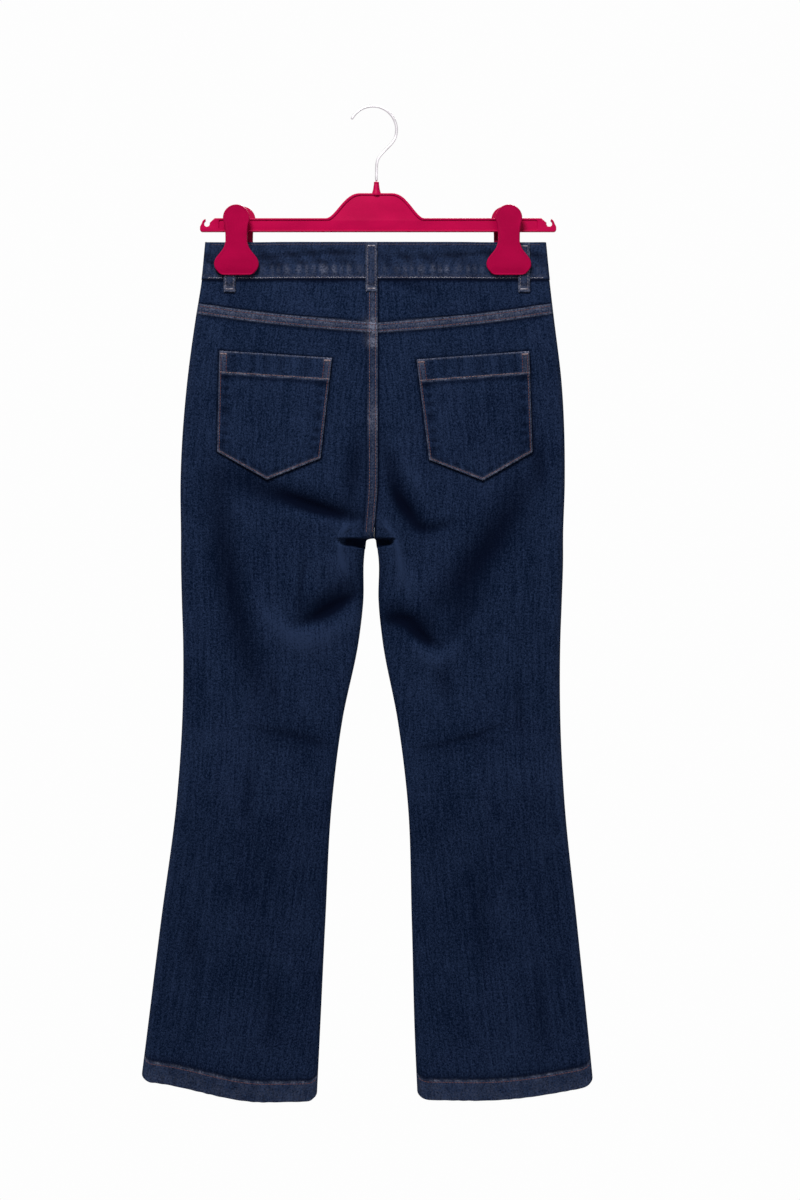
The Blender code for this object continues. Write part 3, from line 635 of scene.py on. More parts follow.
def unit(vectors):
    """Vectors of length 1 along the given ones."""
    return vectors / np.maximum(np.linalg.norm(vectors, axis=-1, keepdims=True), 1e-9)


def shell(name, points, thickness, facing, wear, shade, material):
    """A closed wall of cloth: the grid is its outside, the inside is the grid moved in along its
    normals by the thickness, and a bulged rim joins the two all round."""
    rows, columns = points.shape[:2]
    down = np.gradient(points, axis=0)
    along = np.gradient(points, axis=1)
    normal = unit(np.cross(down, along))
    turned = float((normal * facing).sum()) < 0
    if turned:
        normal = -normal
    thickness = np.broadcast_to(thickness, (rows, columns))[..., None]
    inside = points - normal * thickness
    r, c = grid_edge(rows, columns)
    inner_r, inner_c = np.clip(r, 1, rows - 2), np.clip(c, 1, columns - 2)
    outward = unit(points[r, c] - points[inner_r, inner_c])
    ring = 0.5 * (points[r, c] + inside[r, c]) + outward * 0.42 * thickness[r, c]
    total = rows * columns
    edge = r * columns + c
    rim = 2 * total + np.arange(len(r))
    faces = np.concatenate((
        grid_faces(rows, columns), grid_faces(rows, columns, total)[:, ::-1],
        wall_faces(edge, rim), wall_faces(rim, edge + total),
    ))
    if turned:
        faces = faces[:, ::-1]
    across = np.linalg.norm(np.diff(points, axis=1, prepend=points[:, :1]), axis=2).cumsum(axis=1)
    lengthwise = np.linalg.norm(np.diff(points, axis=0, prepend=points[:1]), axis=2)
    lengthwise = np.repeat(lengthwise.mean(axis=1, keepdims=True), columns, axis=1).cumsum(axis=0)
    cloth = np.stack((across, lengthwise), axis=2)
    every_point = np.concatenate((points.reshape(-1, 3), inside.reshape(-1, 3), ring))
    every_cloth = np.concatenate((cloth.reshape(-1, 2), cloth.reshape(-1, 2), cloth[r, c]))
    # Rubbed wear, painted highlight and painted shade on the outside and the rim; none inside.
    worn = []
    for values in (wear, shade):
        values = np.broadcast_to(values, (rows, columns))
        worn.append(np.concatenate((values.ravel(), np.zeros(total), values[r, c])))
    return add_mesh(name, every_point, faces, material, every_cloth, *worn)


def tube(name, route, radius, sides, material):
    """A closed tube: a circle carried along a route in a plane, with rounded ends."""
    route = np.array(route, float)
    ahead = unit(np.gradient(route, axis=0))
    side = unit(np.cross(ahead, (0.0, 1.0, 0.0)))
    up = np.cross(side, ahead)
    angle = np.linspace(0.0, 2 * math.pi, sides, endpoint=False)
    reach = np.minimum(np.arange(len(route)), np.arange(len(route))[::-1])
    from_end = np.linalg.norm(np.diff(route, axis=0), axis=1).mean() * reach
    wide = radius * np.maximum(quarter(from_end / radius), 0.12)
    ring = np.cos(angle)[:, None] * side[:, None] + np.sin(angle)[:, None] * up[:, None]
    points = route[:, None] + ring * wide[:, None, None]
    return add_mesh(name, points.reshape(-1, 3), tube_faces(len(route), sides), material)


def tube_faces(rings, sides):
    """Faces of a tube and of its two ends, facing out."""
    k = np.arange(rings - 1)[:, None] * sides
    here, after = np.arange(sides), np.roll(np.arange(sides), -1)
    quads = np.stack((k + here, k + after, k + sides + after, k + sides + here), axis=2)
    quads = quads.reshape(-1, 4)
    half = sides // 2
    a, b = np.arange(half - 1), np.arange(half - 1) + 1
    end = np.stack((a, b, sides - 1 - b, sides - 1 - a), axis=1)
    return np.concatenate((quads, end[:, ::-1], end + (rings - 1) * sides))[:, ::-1]


def lathe(name, profile, centre, axis, sides, material):
    """A closed turned piece: a profile of (radius, height) carried round an axis, -Y, Y or Z."""
    profile = np.array(profile, float)
    angle = np.linspace(0.0, 2 * math.pi, sides, endpoint=False)
    flat = profile[:, 0][:, None]
    high = np.repeat(profile[:, 1][:, None], sides, axis=1)
    if axis == "Z":
        points = np.stack((flat * np.cos(angle), flat * np.sin(angle), high), axis=2)
    else:
        points = np.stack((flat * np.sin(angle), high, flat * np.cos(angle)), axis=2)
    points = points.reshape(-1, 3) + centre
    return add_mesh(name, points, tube_faces(len(profile), sides)[:, ::-1], material)


STITCH_ALONG = (-0.5, -0.38, 0.38, 0.5)
STITCH_WIDE = (0.45, 1.0, 1.0, 0.45)
# Painted highlight on the top of each stitch and painted shade at its sides: one value for each of the
# four points round a ring.
STITCH_HIGHLIGHT = (0.1, 1.0, 0.1, 0.0)


def stitches(name, runs, material):
    """Thread: one small capsule for each stitch of each run. A run is its starts, ends, facing
    direction, thread radius and paleness, the strength of the painted highlight on the thread's top;
    a capsule is four rings of four points."""
    points, wear = [], []
    for starts, ends, facing, radius, pale in runs:
        middle = 0.5 * (starts + ends)
        ahead = ends - starts
        facing = np.broadcast_to(np.array(facing, float), ahead.shape)
        side = unit(np.cross(ahead, facing)) * radius
        up = unit(np.cross(side, ahead)) * radius * 0.8
        angle = np.arange(4) * math.pi / 2
        rings = []
        for along, wide in zip(STITCH_ALONG, STITCH_WIDE):
            circle = np.cos(angle)[:, None] * side[:, None] + np.sin(angle)[:, None] * up[:, None]
            rings.append((middle + ahead * along)[:, None] + circle * wide)
        points.append(np.stack(rings, axis=1).reshape(-1, 3))
        wear.append(np.tile(STITCH_HIGHLIGHT, 4 * len(starts)) * pale)
    points = np.concatenate(points)
    one = tube_faces(4, 4)
    first = np.arange(len(points) // 16)[:, None, None] * 16
    faces = (one[None] + first).reshape(-1, 4)
    return add_mesh(name, points, faces, material, wear=np.concatenate(wear))


def sewn(route, facing, pale=0.5, zigzag=0.0, pitch=None):
    """A run of stitches along a route: starts and ends at even steps, swung aside by zigzag; pale sets
    its painted highlight.
    """
    cloth = bpy.context.scene.jeans_cloth
    pitch = pitch or cloth.stitch_pitch / MM
    length = pitch * cloth.stitch_share
    route = np.array(route, float)
    travelled = np.concatenate(([0.0], np.linalg.norm(np.diff(route, axis=0), axis=1).cumsum()))
    count = max(int(travelled[-1] / pitch), 1)
    at = (np.arange(count) + 0.5) * travelled[-1] / count
    places = []
    for end in (-0.5, 0.5):
        where = at + end * length
        places.append(np.stack([np.interp(where, travelled, route[:, k]) for k in range(3)], axis=1))
    if zigzag:
        swing = np.where(np.arange(count) % 2, zigzag, -zigzag)[:, None]
        places[0][:, 2:] += swing
        places[1][:, 2:] -= swing
    return places[0], places[1], facing, cloth.thread_radius / MM, pale


def tack(route, facing):
    """A bar tack: a close zigzag along a short route."""
    starts, ends, facing, radius, pale = sewn(route, facing, pale=1.3, zigzag=0.8, pitch=0.7)
    return starts, ends, facing, 1.3 * radius, pale


# ---------------------------------------------------------------- materials


class Wire:
    """One value in a node tree. Arithmetic on it adds Math nodes."""

    def __init__(self, finish, socket):
        self.finish = finish
        self.socket = socket

    def maths(self, operation, *values):
        return self.finish.node("ShaderNodeMath", {"operation": operation}, dict(enumerate(values)))

    def __add__(self, other):
        return self.maths("ADD", self, other)

    __radd__ = __add__

    def __sub__(self, other):
        return self.maths("SUBTRACT", self, other)

    def __rsub__(self, other):
        return self.maths("SUBTRACT", other, self)

    def __mul__(self, other):
        return self.maths("MULTIPLY", self, other)

    __rmul__ = __mul__

    def sine(self):
        return self.maths("SINE", self)

    def between(self, low, high):
        """0 below low, 1 above high, and an even rise between."""
        ends = {"Value": self, "From Min": low, "From Max": high}
        return self.finish.node("ShaderNodeMapRange", {"clamp": True}, ends)


class Finish:
    """A material being made: its nodes, its Principled shader and what feeds them."""

    def __init__(self, name, **constants):
        self.material = bpy.data.materials.new(name)
        self.material.use_nodes = True
        self.tree = self.material.node_tree
        self.shader = self.tree.nodes["Principled BSDF"]
        for socket, value in constants.items():
            self.shader.inputs[socket.replace("_", " ")].default_value = value

    def node(self, kind, settings, values, output=0):
        made = self.tree.nodes.new(kind)
        for setting, value in settings.items():
            setattr(made, setting, value)
        for socket, value in values.items():
            self.feed(made.inputs[socket], value)
        return Wire(self, made.outputs[output])

    def feed(self, socket, value):
        if isinstance(value, Wire):
            self.tree.links.new(value.socket, socket)
        else:
            socket.default_value = value

    def set(self, socket, value):
        self.feed(self.shader.inputs[socket], value)

    def place(self):
        return self.node("ShaderNodeTexCoord", {}, {}, "Object")

    def cloth(self):
        return self.node("ShaderNodeUVMap", {"uv_map": "cloth"}, {})

    def attribute(self, name):
        return self.node("ShaderNodeAttribute", {"attribute_name": name}, {}, "Fac")

    def stretch(self, vector, factors):
        return self.node("ShaderNodeVectorMath", {"operation": "MULTIPLY"}, {0: vector, 1: factors})

    def noise(self, vector, scale, detail, rough=0.5):
        values = {"Vector": vector, "Scale": scale, "Detail": detail, "Roughness": rough}
        return self.node("ShaderNodeTexNoise", {}, values)

    def mix(self, factor, one, two):
        return self.node(
            "ShaderNodeMix", {"data_type": "RGBA"}, {0: factor, 6: one, 7: two}, 2
        )

    def bump(self, height, strength, distance):
        values = {"Height": height, "Strength": strength, "Distance": distance}
        self.set("Normal", self.node("ShaderNodeBump", {}, values))


def chosen(name):
    """A colour from the settings."""
    return tuple(getattr(bpy.context.scene.jeans_colours, name))


def dimmed(colour, share):
    """A colour made darker, with its alpha kept."""
    return tuple(part * share for part in colour[:3]) + (colour[3],)


def denim(name, lift, worn_everywhere):
    """Indigo twill: grain, upright streaks and soft clouds between a dark and a light blue. The
    shade attribute, painted shade below 0 and painted highlight above, moves it darker below 0 and
    lighter above; the wear attribute shows pale rubbed thread and painted highlights."""
    finish = Finish(name, Roughness=0.92, Specular_IOR_Level=0.02)
    cloth = finish.cloth()
    clouds = finish.noise(finish.place(), 17.0, 3.0, 0.55)
    slubs = finish.noise(finish.stretch(cloth, (250.0, 8.0, 1.0)), 1.0, 2.0)
    streaks = finish.noise(finish.stretch(cloth, (400.0, 50.0, 1.0)), 1.0, 2.0)
    grain = finish.noise(finish.stretch(cloth, (400.0, 300.0, 1.0)), 1.0, 2.0, 0.85)
    specks = finish.noise(finish.stretch(cloth, (610.0, 530.0, 1.0)), 1.0, 1.0, 0.6)
    # The shade attribute: painted shade below 0, painted highlight above 0.
    shade = finish.attribute("shade")
    tone = (
        (clouds - 0.5) * 0.8 + (slubs - 0.5) * 0.9 + (streaks - 0.5) * 1.2
        + (grain - 0.5) * 2.6 + (specks - 0.5) * 2.4 + shade * 0.42 + (0.40 + lift)
    )
    blue = finish.mix(tone.between(-0.15, 1.15), chosen("dark"), chosen("light"))
    # Painted shade: below 0 the shade attribute mixes in the deep indigo.
    blue = finish.mix(shade.between(0.0, -1.0), blue, chosen("deep"))
    rubbed = finish.noise(finish.stretch(cloth, (430.0, 430.0, 1.0)), 1.0, 2.0, 0.8)
    patchy = finish.noise(finish.stretch(cloth, (75.0, 75.0, 1.0)), 1.0, 2.0)
    amount = (finish.attribute("wear") + worn_everywhere) * (rubbed.between(0.36, 0.62) + 0.02)
    amount = amount * (patchy.between(0.3, 0.65) * 0.7 + 0.4)
    finish.set("Base Color", finish.mix(amount.between(0.0, 1.0), blue, chosen("worn")))
    finish.set("Roughness", 0.96 - grain * 0.12)
    parts = finish.node("ShaderNodeSeparateXYZ", {}, {0: cloth})
    upright = finish.node("ShaderNodeSeparateXYZ", {}, {0: cloth}, "Y")
    twill = ((parts + upright * 0.8) * (2 * math.pi / TWILL)).sine()
    finish.bump(twill * 0.2 + grain * 1.2 + streaks * 0.8, 0.5, 0.0007)
    return finish.material


def thread(name, top, side):
    """Twisted sewing thread: a pale painted highlight where the wear attribute marks its
    top and dark painted shade at its sides, in uneven lengths, with a fine twist."""
    finish = Finish(name, Roughness=0.7, Specular_IOR_Level=0.1)
    place = finish.place()
    tone = finish.noise(finish.stretch(place, (1.0, 0.2, 1.0)), 240.0, 2.0, 0.7)
    share = finish.attribute("wear") * (tone.between(0.38, 0.60) * 0.75 + 0.25)
    finish.set("Base Color", finish.mix(share.between(0.0, 1.0), chosen(side), chosen(top)))
    twist = finish.noise(place, 2600.0, 1.0)
    finish.set("Roughness", 0.6 + twist * 0.25)
    finish.bump(twist, 0.4, 0.0002)
    return finish.material


def plastic(name, share):
    """Moulded plastic: one deep colour, dimmed by share for painted shade on the jaws, slightly mottled
    in tone and in gloss.
    """
    colour = dimmed(chosen("plastic"), share)
    finish = Finish(name, Roughness=0.34, Specular_IOR_Level=0.05)
    place = finish.place()
    flow = finish.noise(finish.stretch(place, (1.0, 1.0, 2.0)), 26.0, 3.0)
    fine = finish.noise(place, 900.0, 2.0)
    mottled = finish.mix(flow.between(0.30, 0.66), dimmed(colour, 0.86), colour)
    finish.set("Base Color", mottled)
    finish.set("Roughness", 0.30 + flow * 0.16 + fine * 0.06)
    finish.bump(fine * 0.4 + flow, 0.25, 0.0002)
    return finish.material


def metal(name, setting, rough, brushed):
    """Drawn or plated metal: fine lines along the piece and an uneven gloss."""
    colour = chosen(setting)
    finish = Finish(name, Metallic=1.0)
    place = finish.place()
    lines = finish.noise(finish.stretch(place, brushed), 300.0, 3.0)
    clouds = finish.noise(place, 90.0, 2.0)
    finish.set("Base Color", finish.mix(clouds.between(0.3, 0.7), dimmed(colour, 0.70), colour))
    finish.set("Roughness", rough + lines * 0.14)
    finish.bump(lines, 0.15, 0.0001)
    return finish.material


def tape(name):
    """Woven zip tape: a fine ribbed weave."""
    colour = chosen("tape")
    finish = Finish(name, Roughness=0.9, Specular_IOR_Level=0.15)
    weave = finish.noise(finish.stretch(finish.cloth(), (1800.0, 500.0, 1.0)), 1.0, 2.0)
    finish.set("Base Color", finish.mix(weave.between(0.3, 0.7), dimmed(colour, 0.5), colour))
    finish.bump(weave, 0.5, 0.0003)
    return finish.material


def floor_paint(name):
    """White floor paint in faint patches."""
    colour = chosen("floor")
    finish = Finish(name, Roughness=0.85, Specular_IOR_Level=0.1)
    patches = finish.noise(finish.place(), 3.0, 3.0)
    finish.set("Base Color", finish.mix(patches.between(0.3, 0.7), dimmed(colour, 0.985), colour))
    return finish.material


# How each finish is made: its function, then what that function takes after the name.
FINISHES = {
    "denim_panel": (denim, 0.0, 0.0),
    "denim_pocket": (denim, 0.04, 0.0),
    "denim_band": (denim, 0.22, 0.03),
    "denim_loop": (denim, 0.14, 0.22),
    "tan_thread": (thread, "thread", "thread_dark"),
    "pale_thread": (thread, "pale", "pale_dark"),
    "crimson_plastic": (plastic, 1.0),
    # The jaws take the same plastic dimmed: painted shade.
    "jaw_plastic": (plastic, 0.86),
    "hook_steel": (metal, "steel", 0.32, (1.0, 1.0, 0.1)),
    "copper": (metal, "copper", 0.28, (1.0, 1.0, 1.0)),
    "zip_weave": (tape,),
    "pale_floor": (floor_paint,),
}
MATERIALS = {}


def finish_named(name):
    """Each finish, made once and then shared."""
    if name not in MATERIALS:
        maker, *settings = FINISHES[name]
        MATERIALS[name] = maker(name, *settings)
    return MATERIALS[name]


# ---------------------------------------------------------------- pieces


def place_piece(item, slot, *nodes):
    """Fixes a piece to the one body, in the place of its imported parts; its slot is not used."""
    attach(item, "root")
    if nodes:
        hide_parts(*nodes)


def even(start, end, step):
    """Values from start to end at about one step."""
    return np.linspace(start, end, max(int(round(abs(end - start) / step)), 1) + 1)


def panel_points(leg, side, lines, step):
    """A panel's grid. Columns lie close round both folds and evenly between them; each block of
    rows is a line z(share) swept by its own parameter."""
    half = np.full((1, 1), 0.5)
    middle = np.concatenate([line(half, sweep[:, None]) for line, sweep in lines])
    outer, inner = edges(leg, middle)
    width = np.abs(inner - outer)
    b = legness(middle)
    arc = even(0.0, 13.0, 1.1)
    turn = FOLD_RADIUS * math.pi / 2
    bent = np.where(arc < turn, FOLD_RADIUS * (1 - np.cos(arc / FOLD_RADIUS)), arc + FOLD_RADIUS - turn)
    start = np.repeat(bent[None], len(middle), axis=0)
    end = b * bent + (1 - b) * arc
    between = np.linspace(0.0, 1.0, int(195.0 / step))[1:-1]
    centre = bent[-1] + (width - end[:, -1:] - bent[-1]) * between
    from_outer = np.concatenate((start, centre, width - end[:, ::-1]), axis=1)
    share = np.clip(from_outer / width, 0.0, 1.0)
    z, first = [], 0
    for line, sweep in lines:
        z.append(line(share[first:first + len(sweep)], sweep[:, None]))
        first += len(sweep)
    z = np.concatenate(z)
    outer, inner = edges(leg, z)
    x = outer + (inner - outer) * share
    y = np.abs(panel_y(leg, side, x, z))
    near_inseam = GAP / 2 + 0.9 * bell(z - CROTCH, 14.0)
    y = np.maximum(y, np.where(share < 0.5, GAP / 2, near_inseam))
    towards = -1.0 if leg == "left" else 1.0
    x[:, -1:] += towards * (1 - b) * GAP / 2
    return np.stack((x, AWAY[side] * y, z), axis=2), share


def panel_wear_and_painted_light(leg, side, points, share):
    """Where a panel is rubbed pale, with painted highlights on the laps' edges, and its shade:
    painted shade in hollows and painted highlight on ridges, with painted shadows by the seams, the
    tuck, the pocket and the hem.
    """
    x, z = points[..., 0], points[..., 2]
    outer, inner = edges(leg, z)
    from_centre = np.abs(inner - x)
    trunk = smooth_step((z - CROTCH) / 4.0)
    above_hem = z - hem_height(leg, share)
    wear = 0.15 * smooth_step((HEM_BAND - above_hem) / 1.5) + 0.05 * bell(np.abs(x - outer), 5.0)
    roping = 0.5 + 0.5 * rope(leg, x, above_hem)
    wear += (0.25 + 0.5 * roping) * bell(above_hem - HEM_BAND - 1.4, 1.5)
    wear += 0.20 * bell(above_hem, 1.2)
    # Lighter along the side fold, and the painted shade and highlight of the folds.
    shade = 0.30 * bell(np.abs(x - outer), 6.0) + fold_shade(side, x, z)
    # Painted shadow above the hem band, the band lighter on its twists, and darker below the knee.
    shade -= 0.50 * bell(above_hem - HEM_BAND - 4.5, 2.6)
    shade += (0.28 * roping - 0.04) * smooth_step((HEM_BAND - above_hem) / 1.5)
    shade -= 0.14 * smooth_step((KNEE - z) / 90.0) * smooth_step((above_hem - HEM_BAND) / 4.0)
    if side == "back":
        below = yoke_height(share) - z
        wear += seam_wear_and_highlights(leg, below, from_centre, trunk)
        shade += seam_shade(leg, below, from_centre, trunk)
        # Painted shadow in the crotch tuck and along the outside of the pocket's edge.
        shade -= 0.75 * tuck_share(x, z)
        shade -= 0.9 * bell(inside_pocket(leg, x, z) + 0.9, 1.3)
    return wear, shade


def seam_shade(leg, below, from_centre, trunk):
    """Painted shadow: the dark lines beside the laps of the yoke and centre seams."""
    shade = -0.60 * bell(below - YOKE_LAP - 2.4, 1.4) - 1.0 * bell(below + 1.2, 1.1)
    if leg == "right":
        return shade - 1.0 * trunk * bell(from_centre - 0.8, 1.5)
    return shade - 0.4 * trunk * bell(from_centre - SEAM_LAP - 2.2, 1.4)


def seam_wear_and_highlights(leg, below, from_centre, trunk):
    """The pale laps of the yoke and centre seams, partly rubbed wear and partly painted highlight on
    the laps' edges, and the pale patches where they cross.
    """
    on_lap = smooth_step((below + 0.3) / 0.4) * (1 - smooth_step((below - YOKE_LAP) / 1.2))
    # The pale lines at the lap's top and bottom edges are partly painted highlight.
    rows = bell(below - 0.8, 1.0) + 0.6 * bell(below - 5.0, 1.6) + 0.8 * bell(below - 11.0, 1.0)
    wear = on_lap * 0.26 + 0.55 * rows * smooth_step(below + 0.8)
    if leg == "right":
        return wear
    on_seam = trunk * (1 - smooth_step((from_centre - SEAM_LAP) / 1.2))
    # The pale line at the lap's folded edge is partly painted highlight.
    rows = 1.3 * bell(from_centre - 0.5, 0.8) + 0.6 * bell(from_centre - 5.6, 1.8)
    wear += on_seam * 0.07 + 0.36 * trunk * rows
    ladder = 0.5 + 0.5 * ripple(below, 5.2, 0.3)
    wear += 0.7 * trunk * ladder * bell(from_centre - 5.6, 2.6) * bell(below + 25.0, 26.0)
    wear += 0.5 * on_seam * bell(below - 112.0, 18.0)
    crossing = bell(np.hypot(from_centre - 5.0, below - 3.0), 8.5)
    below_crossing = bell(np.hypot(from_centre - 6.0, below - 22.0), 6.5)
    return wear + 1.2 * crossing + 1.2 * below_crossing


def leg_lines(leg, side, step):
    """The blocks of rows of a leg panel, from its top edge to its hem: close together over the
    yoke lap, round the crotch and on the hem, and about one step apart between."""
    lap = YOKE_LAP + 3.5 if side == "back" else 0.0
    thigh = 340.0
    low = CROTCH - thigh

    def lap_line(share, sweep):
        return yoke_height(share) - sweep

    def trunk_line(share, sweep):
        top = yoke_height(share) - lap if side == "back" else WAIST_SEAM - GAP + 0 * share
        return top * (1 - sweep) + CROTCH * sweep

    def leg_line(share, sweep):
        return CROTCH - sweep + 0 * share

    def lower_line(share, sweep):
        hem_top = hem_height(leg, share) + HEM_BAND + 9.0
        return low * (1 - sweep) + hem_top * sweep

    def hem_line(share, sweep):
        return hem_height(leg, share) + sweep

    rise = 300.0 if side == "front" else 255.0
    lines = [
        (trunk_line, even(0.0, 0.955, step / rise)),
        (trunk_line, even(0.96, 1.0, 1.2 / rise)),
        (leg_line, even(0.5, 24.0, 0.9 if side == "back" else 1.5)),
        (leg_line, even(24.0 + step, thigh, step)),
        (lower_line, even(step / 280.0, 0.985, step / 280.0)),
        (hem_line, even(HEM_BAND + 7.0, HEM_ROLL, 1.3)),
    ]
    if side == "back":
        lines.insert(0, (lap_line, even(0.0, lap - 0.6, 0.8)))
    return lines


PANEL_CUTS = {"back": (0.285, 0.945, 0.205), "front": (0.275, 0.985, 0.212)}


def leg_piece(leg, side):
    """One leg panel: finer on the back, and doubled in thickness at the turned hem."""
    step = {"back": 2.7, "front": 4.2}[side]
    points, share = panel_points(leg, side, leg_lines(leg, side, step), step * 0.85)
    above_hem = points[..., 2] - hem_height(leg, share)
    thickness = CLOTH + 1.1 * (1 - smooth_step((above_hem - HEM_BAND) / 2.0))
    wear, shade = panel_wear_and_painted_light(leg, side, points, share)
    name = f"{'seat' if side == 'back' else 'front'}_and_leg_{leg}"
    item = shell(name, points, thickness, FACING[side], wear, shade, finish_named("denim_panel"))
    place_piece(item, "denim", f"{side}_leg_{leg}")
    width, length, area = PANEL_CUTS[side]


def yoke_piece(leg):
    """The yoke, from the waistband seam to under the lap of the leg panel."""
    top, lap = WAIST_SEAM - GAP, YOKE_LAP - 1.5

    def line(share, sweep):
        return top * (1 - sweep) + (yoke_height(share) - lap) * sweep

    points, share = panel_points(leg, "back", [(line, even(0.0, 1.0, 1.0 / 30))], 2.2)
    below = yoke_height(share) - points[..., 2]
    points[..., 1] += smooth_step((below + 0.5) / 0.6) * (LAP_LIFT + GAP)
    x, z = points[..., 0], points[..., 2]
    from_centre = np.abs(centre_line(z) - x)
    wear = seam_wear_and_highlights(leg, below, from_centre, 1.0)
    shade = seam_shade(leg, below, from_centre, 1.0) + fold_shade("back", x, z)
    # Lighter along the side fold, and a painted shadow under the waistband's foot.
    shade += 0.30 * bell(share * 205.0, 6.0) - 1.1 * bell(top - z - 0.4, 1.5)
    item = shell(
        f"yoke_{leg}", points, CLOTH, FACING["back"], wear, shade, finish_named("denim_panel")
    )
    place_piece(item, "denim", f"back_yoke_{leg}")


def pocket_piece(leg):
    """A patch pocket: a grid that runs straight across and bends to the pointed foot."""
    u = np.sin(np.linspace(-0.5, 0.5, 75) * math.pi * 0.86) / math.sin(0.43 * math.pi)
    v = np.concatenate((even(0.0, 0.03, 0.008), even(0.038, 0.94, 0.014), even(0.947, 1.0, 0.007)))
    u, v = np.meshgrid(u, v)
    down = v * (POCKET_SIDE + POCKET_POINT * (1 - np.abs(u)))
    across = u * (POCKET_TOP_HALF + (POCKET_BOTTOM_HALF - POCKET_TOP_HALF) * v)
    x, z = pocket_place(leg, across, down)
    points = np.stack((x, pocket_y(leg, across, down), z), axis=2)
    from_side, from_foot = pocket_edges(across, down)
    in_hem = 1 - smooth_step((down - POCKET_HEM) / 1.0)
    wear = 0.80 * bell(from_side - 0.2, 1.1) + 0.85 * bell(from_foot - 1.2, 2.0)
    wear += 0.85 * bell(down - 0.3, 0.8) + 1.2 * bell(down - POCKET_HEM - 0.6, 0.9)
    wear += 0.30 * bell(from_side - 5.5, 3.0) * in_hem
    wear += 0.9 * bell(np.hypot(from_side - 5.0, down - 3.0), 4.0)
    # Painted shadow below the hem, painted shade in the puckers of the sides and foot, and painted
    # light and shade following the hem's wave.
    shade = -0.55 * bell(down - POCKET_HEM - 4.8, 2.4) + 0.04
    sides, foot, wave = pocket_ripples(leg, across, down)
    shade -= 0.50 * sides * bell(from_side - 8.0, 5.0) * (1 - in_hem)
    shade -= 0.50 * foot * bell(from_foot - 6.5, 3.5)
    shade += 0.25 * wave * in_hem
    name = f"patch_pocket_{leg}"
    item = shell(name, points, CLOTH, FACING["back"], wear, shade, finish_named("denim_pocket"))
    place_piece(item, "denim", f"back_pocket_{leg}")


def band_points():
    """The waistband's grid: heights down it, and round it from lap to lap."""
    heights = WAIST_TOP - even(0.0, WAIST_TOP - WAIST_SEAM - GAP, 1.7)[:, None]
    heights = np.concatenate((heights[:1], heights[:1] - 0.5, heights[1:]))
    left, right = level("left_out", heights), level("right_out", heights)
    arc = even(0.0, math.pi / 2, math.pi / 16)
    bent = FOLD_RADIUS * (1 - np.cos(arc))
    back = even(0.0, 1.0, 1 / 170)[1:-1]
    front = even(0.0, 1.0, 1 / 60)[1:]
    lap_left, lap_right = CENTRE_TOP + WAIST_LAP, CENTRE_TOP - WAIST_LAP
    inner_left, inner_right = left + FOLD_RADIUS, right - FOLD_RADIUS
    x_front_left = lap_left + (inner_left - lap_left) * front
    x_back = inner_left + (inner_right - inner_left) * back
    x_front_right = inner_right + (lap_right - inner_right) * front
    x = np.concatenate(
        (x_front_left, left + bent[::-1][1:], left + bent[1:], x_back,
         right - bent[::-1], right - bent[1:], x_front_right), axis=1
    )
    sides = np.concatenate((
        np.ones(len(front) + len(arc) - 1), -np.ones(2 * (len(arc) - 1) + 1 + len(back)),
        np.ones(len(arc) - 1 + len(front)),
    ))
    z = np.repeat(heights, x.shape[1], axis=1)
    out = band_out(x, z)
    y = np.where(sides < 0, over("back", x, z, out), over("front", x, z, out))
    near = np.minimum(np.abs(x - left), np.abs(right - x))
    outward = 1 - quarter(near / FOLD_RADIUS)
    y = np.where(near < FOLD_RADIUS, y - np.sign(sides) * PROUD * outward, y)
    x = x + np.where(np.abs(x - left) < np.abs(x - right), -1.0, 1.0) * PROUD * outward
    last = np.arange(x.shape[1]) >= x.shape[1] - len(front)
    under = smooth_step((CENTRE_TOP + WAIST_LAP + 26 - x) / 24.0) * last
    y = y - under * (BAND + 2 * GAP)
    return np.stack((x, y, z), axis=2)


def waistband_piece():
    """The waistband, with painted shade along the trough of its wave, painted shadow along its foot
    and rubbed puckers above its foot.
    """
    points = band_points()
    x, z = points[..., 0], points[..., 2]
    wear = 0.25 * bell(z - BAND_FOOT_ROW - 2.0, 1.2)
    light_puckers = bell(z - BAND_PUCKERS + 0.5, 5.0) * (0.5 + 0.5 * ripple(x, PUCKER_PITCH, 0.2))
    patches = 0.2 + 0.8 * bell(x + 64.0, 42.0) + 0.5 * bell(x - 70.0, 35.0)
    wear += 0.8 * light_puckers * patches
    # Painted shade in the trough of the wave, and a fainter dark line on the left half.
    shade = -0.45 * bell(z - BAND_WAVE + 3.0 * np.sin(x / 31.0), 3.6) * smooth_step(np.abs(x) / 30.0)
    shade -= 0.28 * bell(z + 184.0 + 2.0 * np.sin(x / 23.0 + 1.0), 2.6) * smooth_step(-x / 60.0)
    # Painted shadow along the band's bottom edge and beside the foot row.
    shade -= 1.0 * bell(z - WAIST_SEAM - 0.4, 1.2) + 0.3 * bell(z + 197.6, 1.0)
    shade += 0.25 * ripple(x + z, 33.0, 0.7) * bell(z + 182.0, 16.0)
    facing = np.stack((0 * z, np.sign(points[..., 1]), 0 * z), axis=2)
    item = shell("waistband_strip", points, BAND, facing, wear, shade, finish_named("denim_band"))
    place_piece(item, "denim", "waistband")


def loop_y(loop, x, z, across):
    """y of a belt loop's outside: on the waistband, then stepping down to the panel below."""
    on_band = smooth_step((z + 208.5) / 4.0)
    out = LOOP_THICKNESS + 2 * GAP + on_band * 0.45
    out += loop.bow * np.sin(math.pi * np.clip((LOOP_TOP - z) / 52.0, 0.0, 1.0))
    out += 0.35 * (1 - across**2) - 0.35 * bell(z + 214.0, 1.8) - 0.35 * bell(z + 164.0, 1.8)
    return over(loop.side, x, z, out)


